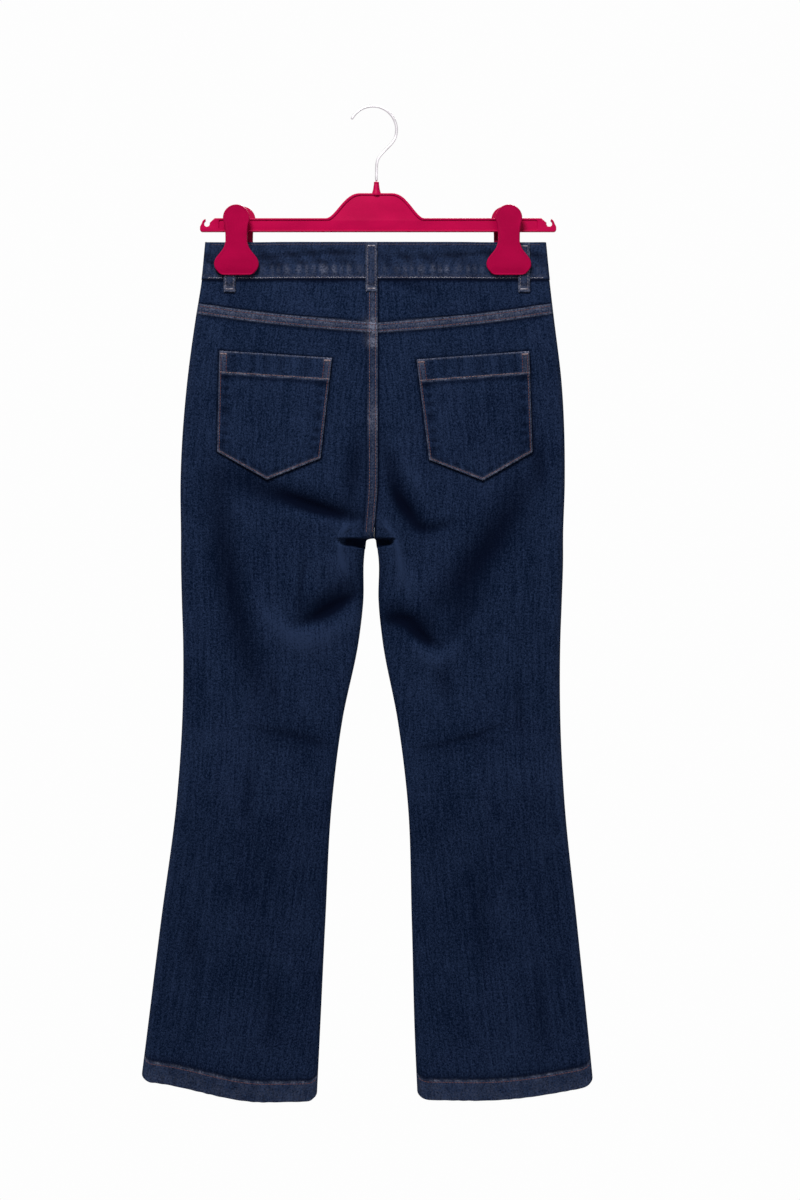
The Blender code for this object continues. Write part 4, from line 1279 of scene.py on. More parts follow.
def loop_piece(name):
    """A belt loop: a narrow strip with rolled edges, folded under at both ends."""
    loop = LOOPS[name]
    across = np.sin(np.linspace(-0.5, 0.5, 13) * math.pi)
    z = (LOOP_TOP - even(0.0, LOOP_TOP - LOOP_BOTTOM, 1.5))[:, None]
    x = loop.x + across * LOOP_WIDTH / 2 + 0 * z
    z = z + 0 * across
    points = np.stack((x, loop_y(loop, x, z, across + 0 * z), z), axis=2)
    folded = 1 - smooth_step((z - LOOP_BOTTOM - 7.0) / 1.0)
    wear = 0.35 * bell(1 - np.abs(across), 0.22) + 0.4 * folded + 0.2 * bell(z - LOOP_TOP, 2.0)
    # Painted shadow where the loop steps off the waistband, and painted shade along its very edges.
    shade = -1.0 * bell(z - LOOP_BOTTOM - 8.2, 1.0) - 0.3 * bell(1 - np.abs(across), 0.08)
    item = shell(
        f"belt_loop_{name}", points, LOOP_THICKNESS, FACING[loop.side], wear, shade,
        finish_named("denim_loop"),
    )
    place_piece(item, "denim", f"loop_{name}")


def fly_strip(name, node, x0, x1, inward, thickness, top, material, slot):
    """A strip of the fly behind the front panels, following them at a fixed distance."""
    z = (top - even(0.0, top - FLY_BOTTOM, 3.0))[:, None]
    x = even(x0, x1, 2.0) + 0 * z
    z = z + 0 * x
    points = np.stack((x, over("front", x, z, -inward), z), axis=2)
    item = shell(name, points, thickness, FACING["front"], 0.0, 0.0, finish_named(material))
    place_piece(item, slot, node)
    return item


def zip_teeth(y_of):
    """Two rows of moulded teeth, interlocked: small blocks with bevelled tops, set half a pitch
    apart on the two sides of the middle."""
    pitch, count = 2.2, 58
    middle = CENTRE_TOP + ZIP_LEFT + ZIP_WIDTH / 2
    block = np.array([
        (-1.5, 0.0, -0.5), (1.5, 0.0, -0.5), (1.5, 0.0, 0.5), (-1.5, 0.0, 0.5),
        (-1.1, 0.25, -0.35), (1.1, 0.25, -0.35), (1.1, 0.25, 0.35), (-1.1, 0.25, 0.35),
    ])
    top = FLY_TOP - SLIDER_LENGTH - 3.0
    row = np.repeat(np.arange(count), 2)
    hand = np.tile((-1.0, 1.0), count)
    z = top - row * pitch - (hand > 0) * pitch / 2
    x = middle + hand * 1.1
    centres = np.stack((x, y_of(x, z), z), axis=1)
    points = (centres[:, None] + block[None]).reshape(-1, 3)
    one = np.array([
        (0, 1, 2, 3), (4, 7, 6, 5), (0, 4, 5, 1), (1, 5, 6, 2), (2, 6, 7, 3), (3, 7, 4, 0)
    ])
    faces = (one[None] + np.arange(2 * count)[:, None, None] * 8).reshape(-1, 4)
    item = add_mesh("zip_teeth", points, faces[:, ::-1], finish_named("copper"))
    place_piece(item, "copper")
    return item


def zip_slider_piece():
    """The slider: a slab with a superellipse outline and a domed face."""
    inward = 2 * (CLOTH + 2 * GAP)
    x = CENTRE_TOP + ZIP_LEFT + ZIP_WIDTH / 2
    z = FLY_TOP - SLIDER_LENGTH / 2
    y = float(over("front", np.array(x), np.array(z), -inward))
    ring = np.array((0.0, 0.45, 0.75, 0.92, 1.0, 1.0, 0.92, 0.0))
    high = np.array((0.0, -0.03, -0.15, -0.38, -0.75, -1.45, -1.8, -2.0))
    angle = np.linspace(0.0, 2 * math.pi, 32, endpoint=False)
    wide = np.sign(np.cos(angle)) * np.abs(np.cos(angle)) ** 0.6 * (SLIDER_WIDTH / 2 - 0.2)
    tall = np.sign(np.sin(angle)) * np.abs(np.sin(angle)) ** 0.6 * (SLIDER_LENGTH / 2 - 0.3)
    points = np.stack(
        (x + ring[:, None] * wide, y + high[:, None] + 0 * wide, z + ring[:, None] * tall), axis=2
    )
    item = add_mesh(
        "zip_slider_body", points.reshape(-1, 3), tube_faces(len(ring), 32), finish_named("copper")
    )
    place_piece(item, "copper", "zip_slider")


def waist_button_piece():
    """A shank button: a dished face with a raised ring and a rolled rim."""
    z = 0.5 * (WAIST_TOP + WAIST_SEAM)
    y = float(over("front", np.array(CENTRE_TOP), np.array(z), PROUD)) + GAP
    r, h = BUTTON_RADIUS, BUTTON_HEIGHT
    profile = (
        (0.01, 0.0), (0.5 * r, 0.0), (0.86 * r, 0.25), (0.97 * r, 0.3 * h), (r, 0.55 * h),
        (0.98 * r, 0.8 * h), (0.92 * r, 0.97 * h), (0.85 * r, h), (0.78 * r, 0.93 * h),
        (0.72 * r, 0.80 * h), (0.62 * r, 0.76 * h), (0.50 * r, 0.78 * h), (0.46 * r, 0.88 * h),
        (0.40 * r, 0.90 * h), (0.36 * r, 0.80 * h), (0.2 * r, 0.78 * h), (0.01, 0.80 * h),
    )
    item = lathe("shank_button", profile, (CENTRE_TOP, y, z), "Y", 48, finish_named("copper"))
    place_piece(item, "copper", "waist_button")


def hump_side(base_x, top_x, inset, steps):
    """The S-shaped shoulder of the hump, from the bar to its flat top, fuller at the top."""
    u = np.linspace(0.0, 1.0, steps)
    towards = math.copysign(1.0, top_x - base_x)
    x = base_x + (top_x - base_x) * u + towards * inset * 0.9
    z = BAR_TOP - inset + HUMP_HEIGHT * (smooth_step(u) + HUMP_SKEW * (u * (1 - u)) ** 2)
    return np.stack((x, z), axis=1).tolist()


def arc_points(centre, radius, start, end, steps):
    angles = np.radians(np.linspace(start, end, steps))
    return np.stack(
        (centre[0] + radius * np.cos(angles), centre[1] + radius * np.sin(angles)), axis=1
    ).tolist()


def end_notch(end_x, towards):
    """The strap notch near one end: a ramp down, a round seat and a horn that curls over it."""
    seat = (end_x + towards * 8.2, BAR_TOP - 6.6)
    turn = towards < 0

    def swing(radius, start, end, steps):
        start, end = (180.0 - start, 180.0 - end) if turn else (start, end)
        return arc_points(seat, radius, start, end, steps)

    ramp = [end_x + towards * 17.4, BAR_TOP]
    corner = [end_x, BAR_BOTTOM + 6.0]
    return [ramp] + swing(3.4, 20.0, -245.0, 25) + swing(6.0, 108.0, 170.0, 9) + [corner]


def bar_outline():
    foot = arc_points((BAR_LEFT + 3, BAR_BOTTOM + 3), 3.0, 180.0, 270.0, 7)
    foot += arc_points((BAR_RIGHT - 3, BAR_BOTTOM + 3), 3.0, 270.0, 360.0, 7)
    return (
        foot + end_notch(BAR_RIGHT, -1)[::-1]
        + hump_side(HUMP_BASE[1], HUMP_TOP[1], 0.0, 25)
        + hump_side(HUMP_BASE[0], HUMP_TOP[0], 0.0, 25)[::-1]
        + end_notch(BAR_LEFT, 1)
    )


def bar_recess(inset):
    """The outline of the sunk panel in the bar's face, inside its rim."""
    left, right = BAR_LEFT + 20.0 + inset, BAR_RIGHT - 20.0 - inset
    low = BAR_BOTTOM + inset
    return (
        arc_points((left + 2, low + 2), 2.0, 180.0, 270.0, 5)
        + arc_points((right - 2, low + 2), 2.0, 270.0, 360.0, 5)
        + arc_points((right - 2, BAR_TOP - inset - 2), 2.0, 0.0, 90.0, 5)
        + hump_side(HUMP_BASE[1], HUMP_TOP[1], inset, 25)
        + hump_side(HUMP_BASE[0], HUMP_TOP[0], inset, 25)[::-1]
        + arc_points((left + 2, BAR_TOP - inset - 2), 2.0, 90.0, 180.0, 5)
    )


def moulded(name, outlines, thickness, rounding):
    """A mesh of a flat moulding in x and z: outlines filled, extruded along y and rounded."""
    curve = bpy.data.curves.new(name, "CURVE")
    curve.dimensions = "2D"
    curve.fill_mode = "BOTH"
    curve.extrude = (thickness / 2 - rounding) * MM
    curve.bevel_depth = rounding * MM
    curve.bevel_resolution = 2
    curve.offset = -rounding * MM
    for outline in outlines:
        spline = curve.splines.new("POLY")
        spline.points.add(len(outline) - 1)
        for point, (px, pz) in zip(spline.points, outline):
            point.co = (px * MM, pz * MM, 0.0, 1.0)
        spline.use_cyclic_u = True
    source = bpy.data.objects.new(name, curve)
    bpy.context.scene.collection.objects.link(source)
    bpy.context.view_layer.update()
    mesh = bpy.data.meshes.new_from_object(source.evaluated_get(bpy.context.evaluated_depsgraph_get()))
    bpy.data.objects.remove(source)
    x, y, z = mesh_points(mesh).T
    mesh.vertices.foreach_set("co", np.stack((x, -z, y), axis=1).ravel())
    return mesh


def joined(name, meshes, material):
    """One object from several meshes, welded, smooth but for its sharp edges."""
    points, faces, first = [], [], 0
    for mesh in meshes:
        points.append(mesh_points(mesh))
        faces += [[first + k for k in face.vertices] for face in mesh.polygons]
        first += len(mesh.vertices)
    whole = bpy.data.meshes.new(name)
    whole.from_pydata(np.concatenate(points).tolist(), [], faces)
    item = bpy.data.objects.new(name, whole)
    bpy.context.scene.collection.objects.link(item)
    whole.materials.append(material)
    whole.shade_smooth()
    weld = item.modifiers.new("Weld", "WELD")
    weld.merge_threshold = 0.00002
    whole.set_sharp_from_angle(angle=math.radians(35))
    return item


def hanger_bar_piece():
    """The bar: a frame with a rounded rim, a thinner sunk panel and the spigot for the hook."""
    rim = moulded("bar_rim", [bar_outline(), bar_recess(2.4)[::-1]], BAR_THICKNESS, 0.9)
    web = moulded("bar_web", [bar_recess(1.6)], BAR_THICKNESS - 2.6, 0.2)
    material = finish_named("crimson_plastic")
    base = BAR_TOP + HUMP_HEIGHT - 2.0
    top = SPIGOT_TOP
    profile = (
        (0.01, base), (5.6, base), (5.6, base + 2.0), (4.9, base + 3.2), (3.9, base + 7.0),
        (3.2, top - 3.4), (2.9, top - 2.6), (3.1, top - 2.2), (3.1, top - 1.0), (2.7, top - 0.3),
        (2.0, top), (0.01, top),
    )
    spigot = lathe("spigot", profile, (SPIGOT_X, 0.0, 0.0), "Z", 40, material)
    item = joined("clip_hanger_bar", (rim, web, spigot.data), material)
    bpy.data.objects.remove(spigot)
    place_piece(item, "hanger_plastic", "hanger_bar")


def hook_piece():
    """The bent wire: an arc, an easy return and a straight shank, as one smooth route."""
    bow = arc_points(HOOK_CENTRE, HOOK_ARC, 154.0, -20.0, 40)
    corners = np.array(bow[-2:] + [list(point) for point in HOOK_RETURN])
    reach = np.concatenate(([0.0], np.linalg.norm(np.diff(corners, axis=0), axis=1).cumsum()))
    at = np.linspace(reach[1], reach[-1], 60)[1:]
    rest = np.stack([curve_through(reach, corners[:, k], at) for k in (0, 1)], axis=1)
    flat = np.concatenate((np.array(bow), rest))
    travelled = np.concatenate(([0.0], np.linalg.norm(np.diff(flat, axis=0), axis=1).cumsum()))
    steps = np.linspace(0.0, travelled[-1], 260)
    route = np.stack(
        (np.interp(steps, travelled, flat[:, 0]), 0 * steps, np.interp(steps, travelled, flat[:, 1])),
        axis=1,
    )
    item = tube("wire_hook", route, HOOK_RADIUS, 20, finish_named("hook_steel"))
    place_piece(item, "hook_steel", "hanger_hook")


def jaw_half(z):
    """Half the jaw's width at a height: a round head, then a curve through JAW_SIDE."""
    head = np.sqrt(np.clip(JAW_HEAD**2 - (z - JAW_TOP + JAW_HEAD) ** 2, 0.0, None))
    rows = JAW_SIDE[::-1]
    below = curve_through([row.z for row in rows], [row.half for row in rows], z)
    foot = JAW_SIDE[-1].z
    closing = quarter((z - foot) / 0.8)
    return np.where(z > JAW_NECK, head, below * closing)


def jaw_piece(side, at):
    """One jaw: a plate with a round head, a waist and a wide foot. Its face is raised along the
    rim, its edges are rounded, and the foot curls in towards the cloth."""
    foot = JAW_SIDE[-1].z
    swing = np.cos(np.linspace(0.0, math.pi, 91))
    z = foot + (JAW_TOP - foot) * (0.5 - 0.5 * swing)[::-1, None]
    u = np.sin(np.linspace(-0.5, 0.5, 31) * math.pi)
    half = np.maximum(jaw_half(z), 0.02)
    x = half * u
    z = z + 0 * u
    from_edge = np.minimum(half * (1 - np.abs(u)), np.minimum(JAW_TOP - z, z - foot) * 1.6)
    rounding = 1.2
    face = JAW_THICKNESS - rounding * (1 - quarter(from_edge / rounding))
    face += 0.35 * bell(from_edge - 1.6, 0.8) - 0.35
    curl = 1.9 * smooth_step((-184.0 - z) / 14.0) ** 2
    front = face - curl * 0.75
    back = 0.6 * (1 - quarter(from_edge / 0.6)) - curl * 0.25
    lean = math.radians(JAW_SPLAY)
    tall = z - foot
    grids = []
    for out in (front, back):
        y = AWAY[side] * (JAW_GRIP[side] + out * math.cos(lean) + tall * math.sin(lean))
        grids.append(np.stack((
            CLIP_X[at] + JAW_SHIFT[side][at] + x, y, foot + tall * math.cos(lean) - out * math.sin(lean)
        ), axis=2))
    rows, columns = z.shape
    total = rows * columns
    r, c = grid_edge(rows, columns)
    edge = r * columns + c
    faces = np.concatenate((
        grid_faces(rows, columns), grid_faces(rows, columns, total)[:, ::-1],
        wall_faces(edge, edge + total),
    ))
    if side == "front":
        faces = faces[:, ::-1]
    points = np.concatenate([grid.reshape(-1, 3) for grid in grids])
    item = add_mesh(f"jaw_{side}_{at}", points, faces, finish_named("jaw_plastic"))
    place_piece(item, "hanger_plastic", f"clip_{side}_{at}")


def spring_piece(at):
    """The spring between the jaws: a helix of wire, closed at both ends."""
    turns = 9
    t = np.linspace(0.0, turns * 2 * math.pi, turns * 24)
    coil = SPRING_RADIUS - SPRING_WIRE
    x = CLIP_X[at] + SPRING_LENGTH * (t / t[-1] - 0.5)
    y, z = coil * np.cos(t), BAR_BOTTOM - 4.2 + coil * np.sin(t)
    route = np.stack((x, y, z), axis=1)
    ahead = unit(np.gradient(route, axis=0))
    out = np.stack((0 * t, np.cos(t), np.sin(t)), axis=1)
    side = np.cross(ahead, out)
    angle = np.linspace(0.0, 2 * math.pi, 8, endpoint=False)
    ring = np.cos(angle)[:, None] * out[:, None] + np.sin(angle)[:, None] * side[:, None]
    points = (route[:, None] + ring * SPRING_WIRE).reshape(-1, 3)
    item = add_mesh(
        f"clip_coil_{at}", points, tube_faces(len(t), 8)[:, ::-1], finish_named("hook_steel")
    )
    place_piece(item, "hook_steel", f"clip_spring_{at}")


# ---------------------------------------------------------------- stitching

# How far thread stands proud of the cloth, and the two rows of the yoke and centre seams.
RAISE = 0.12
YOKE_ROWS = (2.6, 9.4)
CENTRE_ROWS = (2.2, 9.2)
TACK_DOWN = 2.9


def on_panel(leg, side, x, z):
    """A route on a panel, just proud of the cloth."""
    return np.stack((x, panel_y(leg, side, x, z) + AWAY[side] * RAISE, z), axis=1)


def across_panel(leg, side, share, z):
    """A route on a panel at shares of its width."""
    outer, inner = edges(leg, z)
    return on_panel(leg, side, outer + (inner - outer) * share, z)


def on_pocket(leg, across, down, raised):
    """A route on a pocket, raised off its cloth."""
    x, z = pocket_place(leg, across, down)
    return np.stack((x, pocket_y(leg, across, down) - raised, z), axis=1)


def yoke_stitching():
    """Two rows along each yoke's lap."""
    runs = []
    for leg, last in (("left", 0.995), ("right", 0.985)):
        share = np.linspace(0.012, last, 140)
        for below in YOKE_ROWS:
            route = across_panel(leg, "back", share, yoke_height(share) - below)
            runs.append(sewn(route, FACING["back"], pale=0.30))
    return runs


def centre_stitching():
    """Two rows down the lap of the back centre seam."""
    runs = []
    for inset in CENTRE_ROWS:
        z = np.linspace(-208.0, CROTCH + 7.0, 220)
        route = on_panel("left", "back", centre_line(z) - inset, z)
        runs.append(sewn(route, FACING["back"], pale=0.45))
    return runs


def hem_stitching():
    """One row round each hem."""
    runs = []
    for leg in LEGS:
        for side, facing in FACING.items():
            share = np.linspace(0.012, 0.988, 120)
            z = hem_height(leg, share) + HEM_BAND - 0.4
            runs.append(sewn(across_panel(leg, side, share, z), facing, pale=0.25))
    return runs


def pocket_stitching():
    """The rows of both pockets, and a bar tack at each top corner."""
    runs = []
    for leg in LEGS:
        for pale, route in pocket_routes():
            across, down = np.array(route).T
            runs.append(sewn(on_pocket(leg, across, down, RAISE), FACING["back"], pale=pale))
        for hand in (-1, 1):
            across = hand * (POCKET_TOP_HALF - 5.2) + np.linspace(-3.6, 3.6, 9)
            route = on_pocket(leg, across, np.full(9, TACK_DOWN), 2 * RAISE)
            runs.append(tack(route, FACING["back"]))
    return runs


def pocket_routes():
    """The seams of a pocket: its edge, the doubled rows beside the hem, and the hem."""
    inset = 2.3
    down = np.linspace(1.5, POCKET_SIDE - 1.0, 60)
    left = np.stack((-(pocket_half(down) - inset), down), axis=1)
    slope = POCKET_POINT / POCKET_BOTTOM_HALF
    drop = inset * math.hypot(1.0, slope)
    across = np.linspace(-(POCKET_BOTTOM_HALF - inset), 0.0, 40)
    foot = POCKET_SIDE + POCKET_POINT - slope * np.abs(across) - drop
    half_seam = np.concatenate((left, np.stack((across, foot), axis=1)[1:]))
    beside = np.linspace(1.5, POCKET_HEM, 12)
    doubled = np.stack((-(pocket_half(beside) - inset - 6.2), beside), axis=1)
    hem_across = np.linspace(-POCKET_TOP_HALF + 1.8, POCKET_TOP_HALF - 1.8, 60)
    hem = np.stack((hem_across, np.full(60, POCKET_HEM)), axis=1)
    mirrored = (-1.0, 1.0)
    return [
        (0.28, half_seam), (0.34, half_seam * mirrored), (0.10, doubled),
        (0.10, doubled * mirrored), (0.85, hem),
    ]


def on_band(side, start, end, height, count):
    """A level route on the waistband."""
    x, z = np.linspace(start, end, count), np.full(count, height)
    return np.stack((x, over(side, x, z, band_out(x, z) + RAISE), z), axis=1)


def waist_stitching():
    """A plain row along the waistband's top and a coarse zigzag along its foot, on the back and
    on the left front, and two plain rows on the right front, up to the lap."""
    runs = []
    for side, facing in FACING.items():
        for height, sewing in (
            (BAND_TOP_ROW, {"pale": 0.1}),
            (BAND_FOOT_ROW, {"pale": 1.4, "zigzag": 0.4, "pitch": 2.9}),
        ):
            start, end = level("left_out", height) + 7.0, level("right_out", height) - 7.0
            if side == "front":
                end = CENTRE_TOP + WAIST_LAP - 2
            runs.append(sewn(on_band(side, start, end, height, 240), facing, **sewing))
    for height in (BAND_TOP_ROW, BAND_FOOT_ROW - 1.0):
        start, end = CENTRE_TOP + WAIST_LAP + 2.0, level("right_out", height) - 7.0
        runs.append(sewn(on_band("front", start, end, height, 160), FACING["front"]))
    return runs


def loop_stitching():
    """Two rows down each belt loop and a bar tack at each end."""
    runs = []
    for loop in LOOPS.values():
        facing, away = FACING[loop.side], AWAY[loop.side]
        for across in (-0.68, 0.68):
            z = np.linspace(LOOP_TOP - 3.0, LOOP_BOTTOM + 1.5, 50)
            x = np.full(50, loop.x + across * LOOP_WIDTH / 2)
            y = loop_y(loop, x, z, np.full(50, across)) + away * RAISE
            runs.append(sewn(np.stack((x, y, z), axis=1), facing))
        for height in (LOOP_TOP - 3.2, LOOP_BOTTOM + 3.2):
            across = np.linspace(-0.65, 0.65, 9)
            x, z = loop.x + across * LOOP_WIDTH / 2, np.full(9, height)
            y = loop_y(loop, x, z, across) + away * 2 * RAISE
            runs.append(tack(np.stack((x, y, z), axis=1), facing))
    return runs


def fly_stitching():
    """The curved double row of the fly, the front seam below it and the buttonhole."""
    runs = []
    centre = CENTRE_TOP
    for inset in (0.0, 6.0):
        z = np.linspace(FLY_TOP - 1.0, FLY_BOTTOM + 8.0, 90)
        turn = quarter((z - FLY_BOTTOM - 8.0) / 34.0)
        x = centre - 3.0 - (FLY_WIDTH - 6.0 - inset) * turn
        runs.append(sewn(on_panel("left", "front", x, z), FACING["front"]))
    for inset in (2.2, 8.0):
        z = np.linspace(FLY_BOTTOM + 6.0, CROTCH + 8.0, 70)
        route = on_panel("left", "front", centre_line(z) - inset, z)
        runs.append(sewn(route, FACING["front"]))
    middle = 0.5 * (WAIST_TOP + WAIST_SEAM)
    around = np.linspace(0.0, 2 * math.pi, 60)
    x = centre - 1.0 + 11.0 * np.cos(around)
    z = middle + 2.2 * np.sin(around)
    y = over("front", x, z, PROUD + RAISE)
    runs.append(sewn(np.stack((x, y, z), axis=1), FACING["front"], zigzag=0.5, pitch=0.9))
    return runs


# ---------------------------------------------------------------- settings, operators and panel


def colour_setting(name, description, default):
    return bpy.props.FloatVectorProperty(
        name=name, description=description, default=default, subtype="COLOR", size=4,
        min=0.0, max=1.0,
    )


class JeansCloth(bpy.types.PropertyGroup):
    fold_depth: bpy.props.FloatProperty(
        name="Fold depth", description="How deep the creases are, as a share", default=1.0,
        min=0.0, max=1.5, subtype="FACTOR",
    )
    stitch_pitch: bpy.props.FloatProperty(
        name="Stitch pitch", description="From one stitch to the next", default=0.0036,
        unit="LENGTH", subtype="DISTANCE",
    )
    stitch_share: bpy.props.FloatProperty(
        name="Stitch share", description="How much of the pitch is thread", default=0.82,
        min=0.3, max=1.0, subtype="FACTOR",
    )
    thread_radius: bpy.props.FloatProperty(
        name="Thread radius", description="Half the thickness of the sewing thread",
        default=0.00034, unit="LENGTH", subtype="DISTANCE",
    )


class JeansColours(bpy.types.PropertyGroup):
    dark: colour_setting("Dark indigo", "Denim at its darkest", (0.0012, 0.0046, 0.0160, 1.0))
    light: colour_setting("Light indigo", "Denim at its lightest", (0.0150, 0.0265, 0.0640, 1.0))
    # Deep indigo is painted shade, mixed in where the shade attribute falls below 0.
    deep: colour_setting("Deep indigo", "Denim in hollows", (0.0012, 0.0026, 0.0095, 1.0))
    # Worn is the pale of rubbed cloth and also the painted highlight on the laps' edges.
    worn: colour_setting("Worn", "Rubbed seam edges", (0.135, 0.145, 0.200, 1.0))
    # The tops of the thread colours carry a painted highlight, their sides painted shade.
    thread: colour_setting("Thread", "The top of the thread", (0.340, 0.270, 0.280, 1.0))
    thread_dark: colour_setting("Thread side", "The side of the thread", (0.085, 0.026, 0.026, 1.0))
    pale: colour_setting("Pale thread", "The top of the pale thread", (0.420, 0.410, 0.470, 1.0))
    pale_dark: colour_setting("Pale thread side", "Its side", (0.060, 0.040, 0.055, 1.0))
    plastic: colour_setting("Plastic", "Hanger and clips", (0.400, 0.0008, 0.050, 1.0))
    steel: colour_setting("Steel", "Hook and springs", (0.66, 0.63, 0.66, 1.0))
    copper: colour_setting("Copper", "Button and zip", (0.48, 0.24, 0.12, 1.0))
    tape: colour_setting("Zip tape", "Woven tape", (0.030, 0.040, 0.070, 1.0))
    floor: colour_setting("Floor", "Studio floor", (0.90, 0.90, 0.90, 1.0))


class JeansStage(bpy.types.PropertyGroup):
    floor_height: bpy.props.FloatProperty(
        name="Floor height", description="Floor below the hook", default=-1.40,
        unit="LENGTH", subtype="DISTANCE",
    )
    key_power: bpy.props.FloatProperty(
        name="Key light", description="Power of the high front light", default=123.0,
        unit="POWER",
    )
    fill_power: bpy.props.FloatProperty(
        name="Fill light", description="Power of the low front light", default=14.0,
        unit="POWER",
    )
    surround: bpy.props.FloatProperty(
        name="Surround", description="Light from the white surround", default=0.16,
        min=0.0, max=2.0,
    )


class JEANS_OT_yokes(bpy.types.Operator):
    """Sew the two back yokes"""

    bl_idname = "jeans.yokes"
    bl_label = "Yokes"

    def execute(self, context):
        for leg in LEGS:
            yoke_piece(leg)
        return {"FINISHED"}


class JEANS_OT_legs(bpy.types.Operator):
    """Sew the four leg panels"""

    bl_idname = "jeans.legs"
    bl_label = "Legs"

    def execute(self, context):
        for leg in LEGS:
            for side in FACING:
                leg_piece(leg, side)
        return {"FINISHED"}


class JEANS_OT_pockets(bpy.types.Operator):
    """Sew the two patch pockets"""

    bl_idname = "jeans.pockets"
    bl_label = "Back pockets"

    def execute(self, context):
        for leg in LEGS:
            pocket_piece(leg)
        return {"FINISHED"}


class JEANS_OT_waistband(bpy.types.Operator):
    """Sew the waistband"""

    bl_idname = "jeans.waistband"
    bl_label = "Waistband"

    def execute(self, context):
        waistband_piece()
        return {"FINISHED"}


class JEANS_OT_loops(bpy.types.Operator):
    """Sew the belt loops"""

    bl_idname = "jeans.loops"
    bl_label = "Belt loops"

    def execute(self, context):
        for name in LOOPS:
            loop_piece(name)
        return {"FINISHED"}


class JEANS_OT_fly(bpy.types.Operator):
    """Fit the fly, its zip and the waist button"""

    bl_idname = "jeans.fly"
    bl_label = "Fly, zip and button"

    def execute(self, context):
        centre = CENTRE_TOP
        step = CLOTH + 2 * GAP
        facing = fly_strip(
            "fly_front_facing", "fly_facing", centre - FLY_WIDTH, centre - 1.5, step, CLOTH,
            FLY_TOP, "denim_panel", "denim",
        )
        zip_left, zip_in = centre + ZIP_LEFT, 2 * step
        zip_top = FLY_TOP - SLIDER_LENGTH - GAP
        woven = fly_strip(
            "zip_woven_tape", "zip_tape", zip_left, zip_left + ZIP_WIDTH, zip_in + 0.3,
            ZIP_THICKNESS - 0.9, zip_top, "zip_weave", "copper",
        )
        teeth = zip_teeth(lambda x, z: over("front", x, z, -zip_in - 0.3))
        shield = fly_strip(
            "fly_back_shield", "fly_shield", centre - FLY_WIDTH, centre + 2.0,
            zip_in + ZIP_THICKNESS + 2 * GAP, CLOTH, FLY_TOP, "denim_panel", "denim",
        )
        zip_slider_piece()
        waist_button_piece()
        return {"FINISHED"}


class JEANS_OT_stitching(bpy.types.Operator):
    """Run the stitching over every seam"""

    bl_idname = "jeans.stitching"
    bl_label = "Stitching"

    def execute(self, context):
        seams = {
            "stitching_yoke": yoke_stitching(),
            "stitching_centre": centre_stitching(),
            "stitching_hems": hem_stitching(),
            "stitching_pockets": pocket_stitching(),
            "stitching_waist": waist_stitching(),
            "stitching_loops": loop_stitching(),
            "stitching_fly": fly_stitching(),
        }
        pale = ("stitching_waist", "stitching_loops")
        for name, runs in seams.items():
            finish = finish_named("pale_thread" if name in pale else "tan_thread")
            place_piece(stitches(name, runs, finish), "denim")
        return {"FINISHED"}


class JEANS_OT_hanger(bpy.types.Operator):
    """Mould the hanger bar and bend its hook"""

    bl_idname = "jeans.hanger"
    bl_label = "Hanger"

    def execute(self, context):
        hanger_bar_piece()
        hook_piece()
        return {"FINISHED"}


class JEANS_OT_clips(bpy.types.Operator):
    """Mould the clip jaws and wind their springs"""

    bl_idname = "jeans.clips"
    bl_label = "Clips"

    def execute(self, context):
        for at in CLIP_X:
            for side in FACING:
                jaw_piece(side, at)
            spring_piece(at)
        return {"FINISHED"}


Lamp = namedtuple("Lamp", "place size power")


def studio_floor(height):
    """A wide level floor under the hems."""
    wide, deep = 1500.0, 600.0
    x, y = np.meshgrid(np.linspace(-wide, wide, 9), np.linspace(-deep, deep, 5))
    points = np.stack((x, y, np.full(x.shape, height / MM)), axis=2)
    faces = grid_faces(5, 9)[:, ::-1]
    add_mesh("studio_floor", points.reshape(-1, 3), faces, finish_named("pale_floor"))


def area_light(name, lamp):
    """A square soft light, turned to face the middle of the jeans."""
    light = bpy.data.lights.new(name, "AREA")
    light.shape = "SQUARE"
    light.size = lamp.size
    light.energy = lamp.power
    item = bpy.data.objects.new(name, light)
    bpy.context.scene.collection.objects.link(item)
    item.location = lamp.place
    towards = Vector((VIEW_MIDDLE[0], 0.0, VIEW_MIDDLE[1])) - Vector(lamp.place)
    item.rotation_euler = towards.to_track_quat("-Z", "Y").to_euler()


def white_surround(strength):
    """A white world: bright where the camera or a reflection sees it, dimmer as a light."""
    world = bpy.data.worlds.new("white_surround")
    bpy.context.scene.world = world
    world.use_nodes = True
    tree = world.node_tree
    seen = tree.nodes.new("ShaderNodeLightPath")
    either = tree.nodes.new("ShaderNodeMath")
    either.operation = "MAXIMUM"
    tree.links.new(seen.outputs["Is Camera Ray"], either.inputs[0])
    tree.links.new(seen.outputs["Is Glossy Ray"], either.inputs[1])
    bright = tree.nodes.new("ShaderNodeMapRange")
    bright.inputs["To Min"].default_value = strength
    bright.inputs["To Max"].default_value = SEEN_WHITE
    tree.links.new(either.outputs[0], bright.inputs["Value"])
    backdrop = tree.nodes["Background"]
    backdrop.inputs["Color"].default_value = (1.0, 1.0, 1.0, 1.0)
    tree.links.new(bright.outputs["Result"], backdrop.inputs["Strength"])


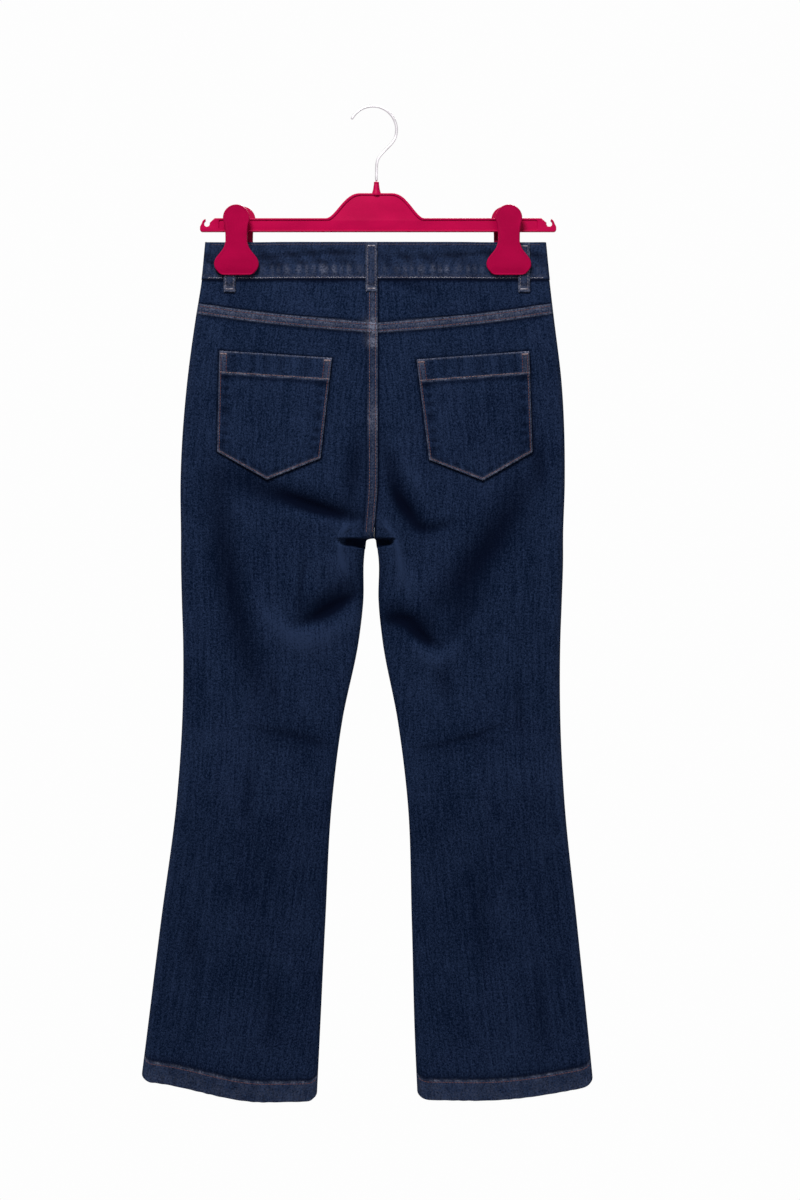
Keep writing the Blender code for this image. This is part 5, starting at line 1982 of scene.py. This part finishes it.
def level_camera():
    """A camera square to the back of the jeans, with VIEW_HEIGHT filling its longer side."""
    camera = bpy.data.cameras.new("camera")
    camera.sensor_width = SENSOR
    camera.lens = SENSOR * VIEW_DISTANCE / VIEW_HEIGHT
    camera.clip_end = 50.0
    item = bpy.data.objects.new("camera", camera)
    bpy.context.scene.collection.objects.link(item)
    item.location = (VIEW_MIDDLE[0], -VIEW_DISTANCE, VIEW_MIDDLE[1])
    item.rotation_euler = (math.pi / 2, 0.0, 0.0)
    bpy.context.scene.camera = item


class JEANS_OT_stage(bpy.types.Operator):
    """Lay the floor and set the lights, the surround and the camera"""

    bl_idname = "jeans.stage"
    bl_label = "Stage"

    def execute(self, context):
        stage = context.scene.jeans_stage
        studio_floor(stage.floor_height)
        area_light("high_front", Lamp((-0.6, -2.0, 1.85), 1.0, stage.key_power))
        area_light("low_front", Lamp((1.5, -2.4, -0.3), 1.8, stage.fill_power))
        area_light("behind", Lamp((0.7, 2.4, 1.6), 1.2, stage.key_power))
        white_surround(stage.surround)
        context.scene.view_settings.view_transform = "Standard"
        level_camera()
        return {"FINISHED"}


OPERATORS = (
    JEANS_OT_stage, JEANS_OT_hanger, JEANS_OT_clips, JEANS_OT_waistband, JEANS_OT_yokes,
    JEANS_OT_legs, JEANS_OT_pockets, JEANS_OT_loops, JEANS_OT_fly, JEANS_OT_stitching,
)
SETTINGS = {"jeans_cloth": JeansCloth, "jeans_colours": JeansColours, "jeans_stage": JeansStage}


class JEANS_PT_sidebar(bpy.types.Panel):
    """Sizes, colours and steps"""

    bl_label = "Jeans"
    bl_idname = "JEANS_PT_sidebar"
    bl_space_type = "VIEW_3D"
    bl_region_type = "UI"
    bl_category = "Jeans"

    def draw(self, context):
        for name, group in SETTINGS.items():
            box = self.layout.box()
            for setting in group.__annotations__:
                box.prop(getattr(context.scene, name), setting)
        for operator in OPERATORS:
            self.layout.operator(operator.bl_idname)


CLASSES = (*SETTINGS.values(), *OPERATORS, JEANS_PT_sidebar)


def register():
    for item in CLASSES:
        bpy.utils.register_class(item)
    for name, group in SETTINGS.items():
        setattr(bpy.types.Scene, name, bpy.props.PointerProperty(type=group))


def unregister():
    for name in SETTINGS:
        delattr(bpy.types.Scene, name)
    for item in reversed(CLASSES):
        bpy.utils.unregister_class(item)


def main():
    register()
    for operator in OPERATORS:
        group, step = operator.bl_idname.split(".")
        getattr(getattr(bpy.ops, group), step)()
    bpy.context.view_layer.update()


if __name__ == "__main__":
    main()
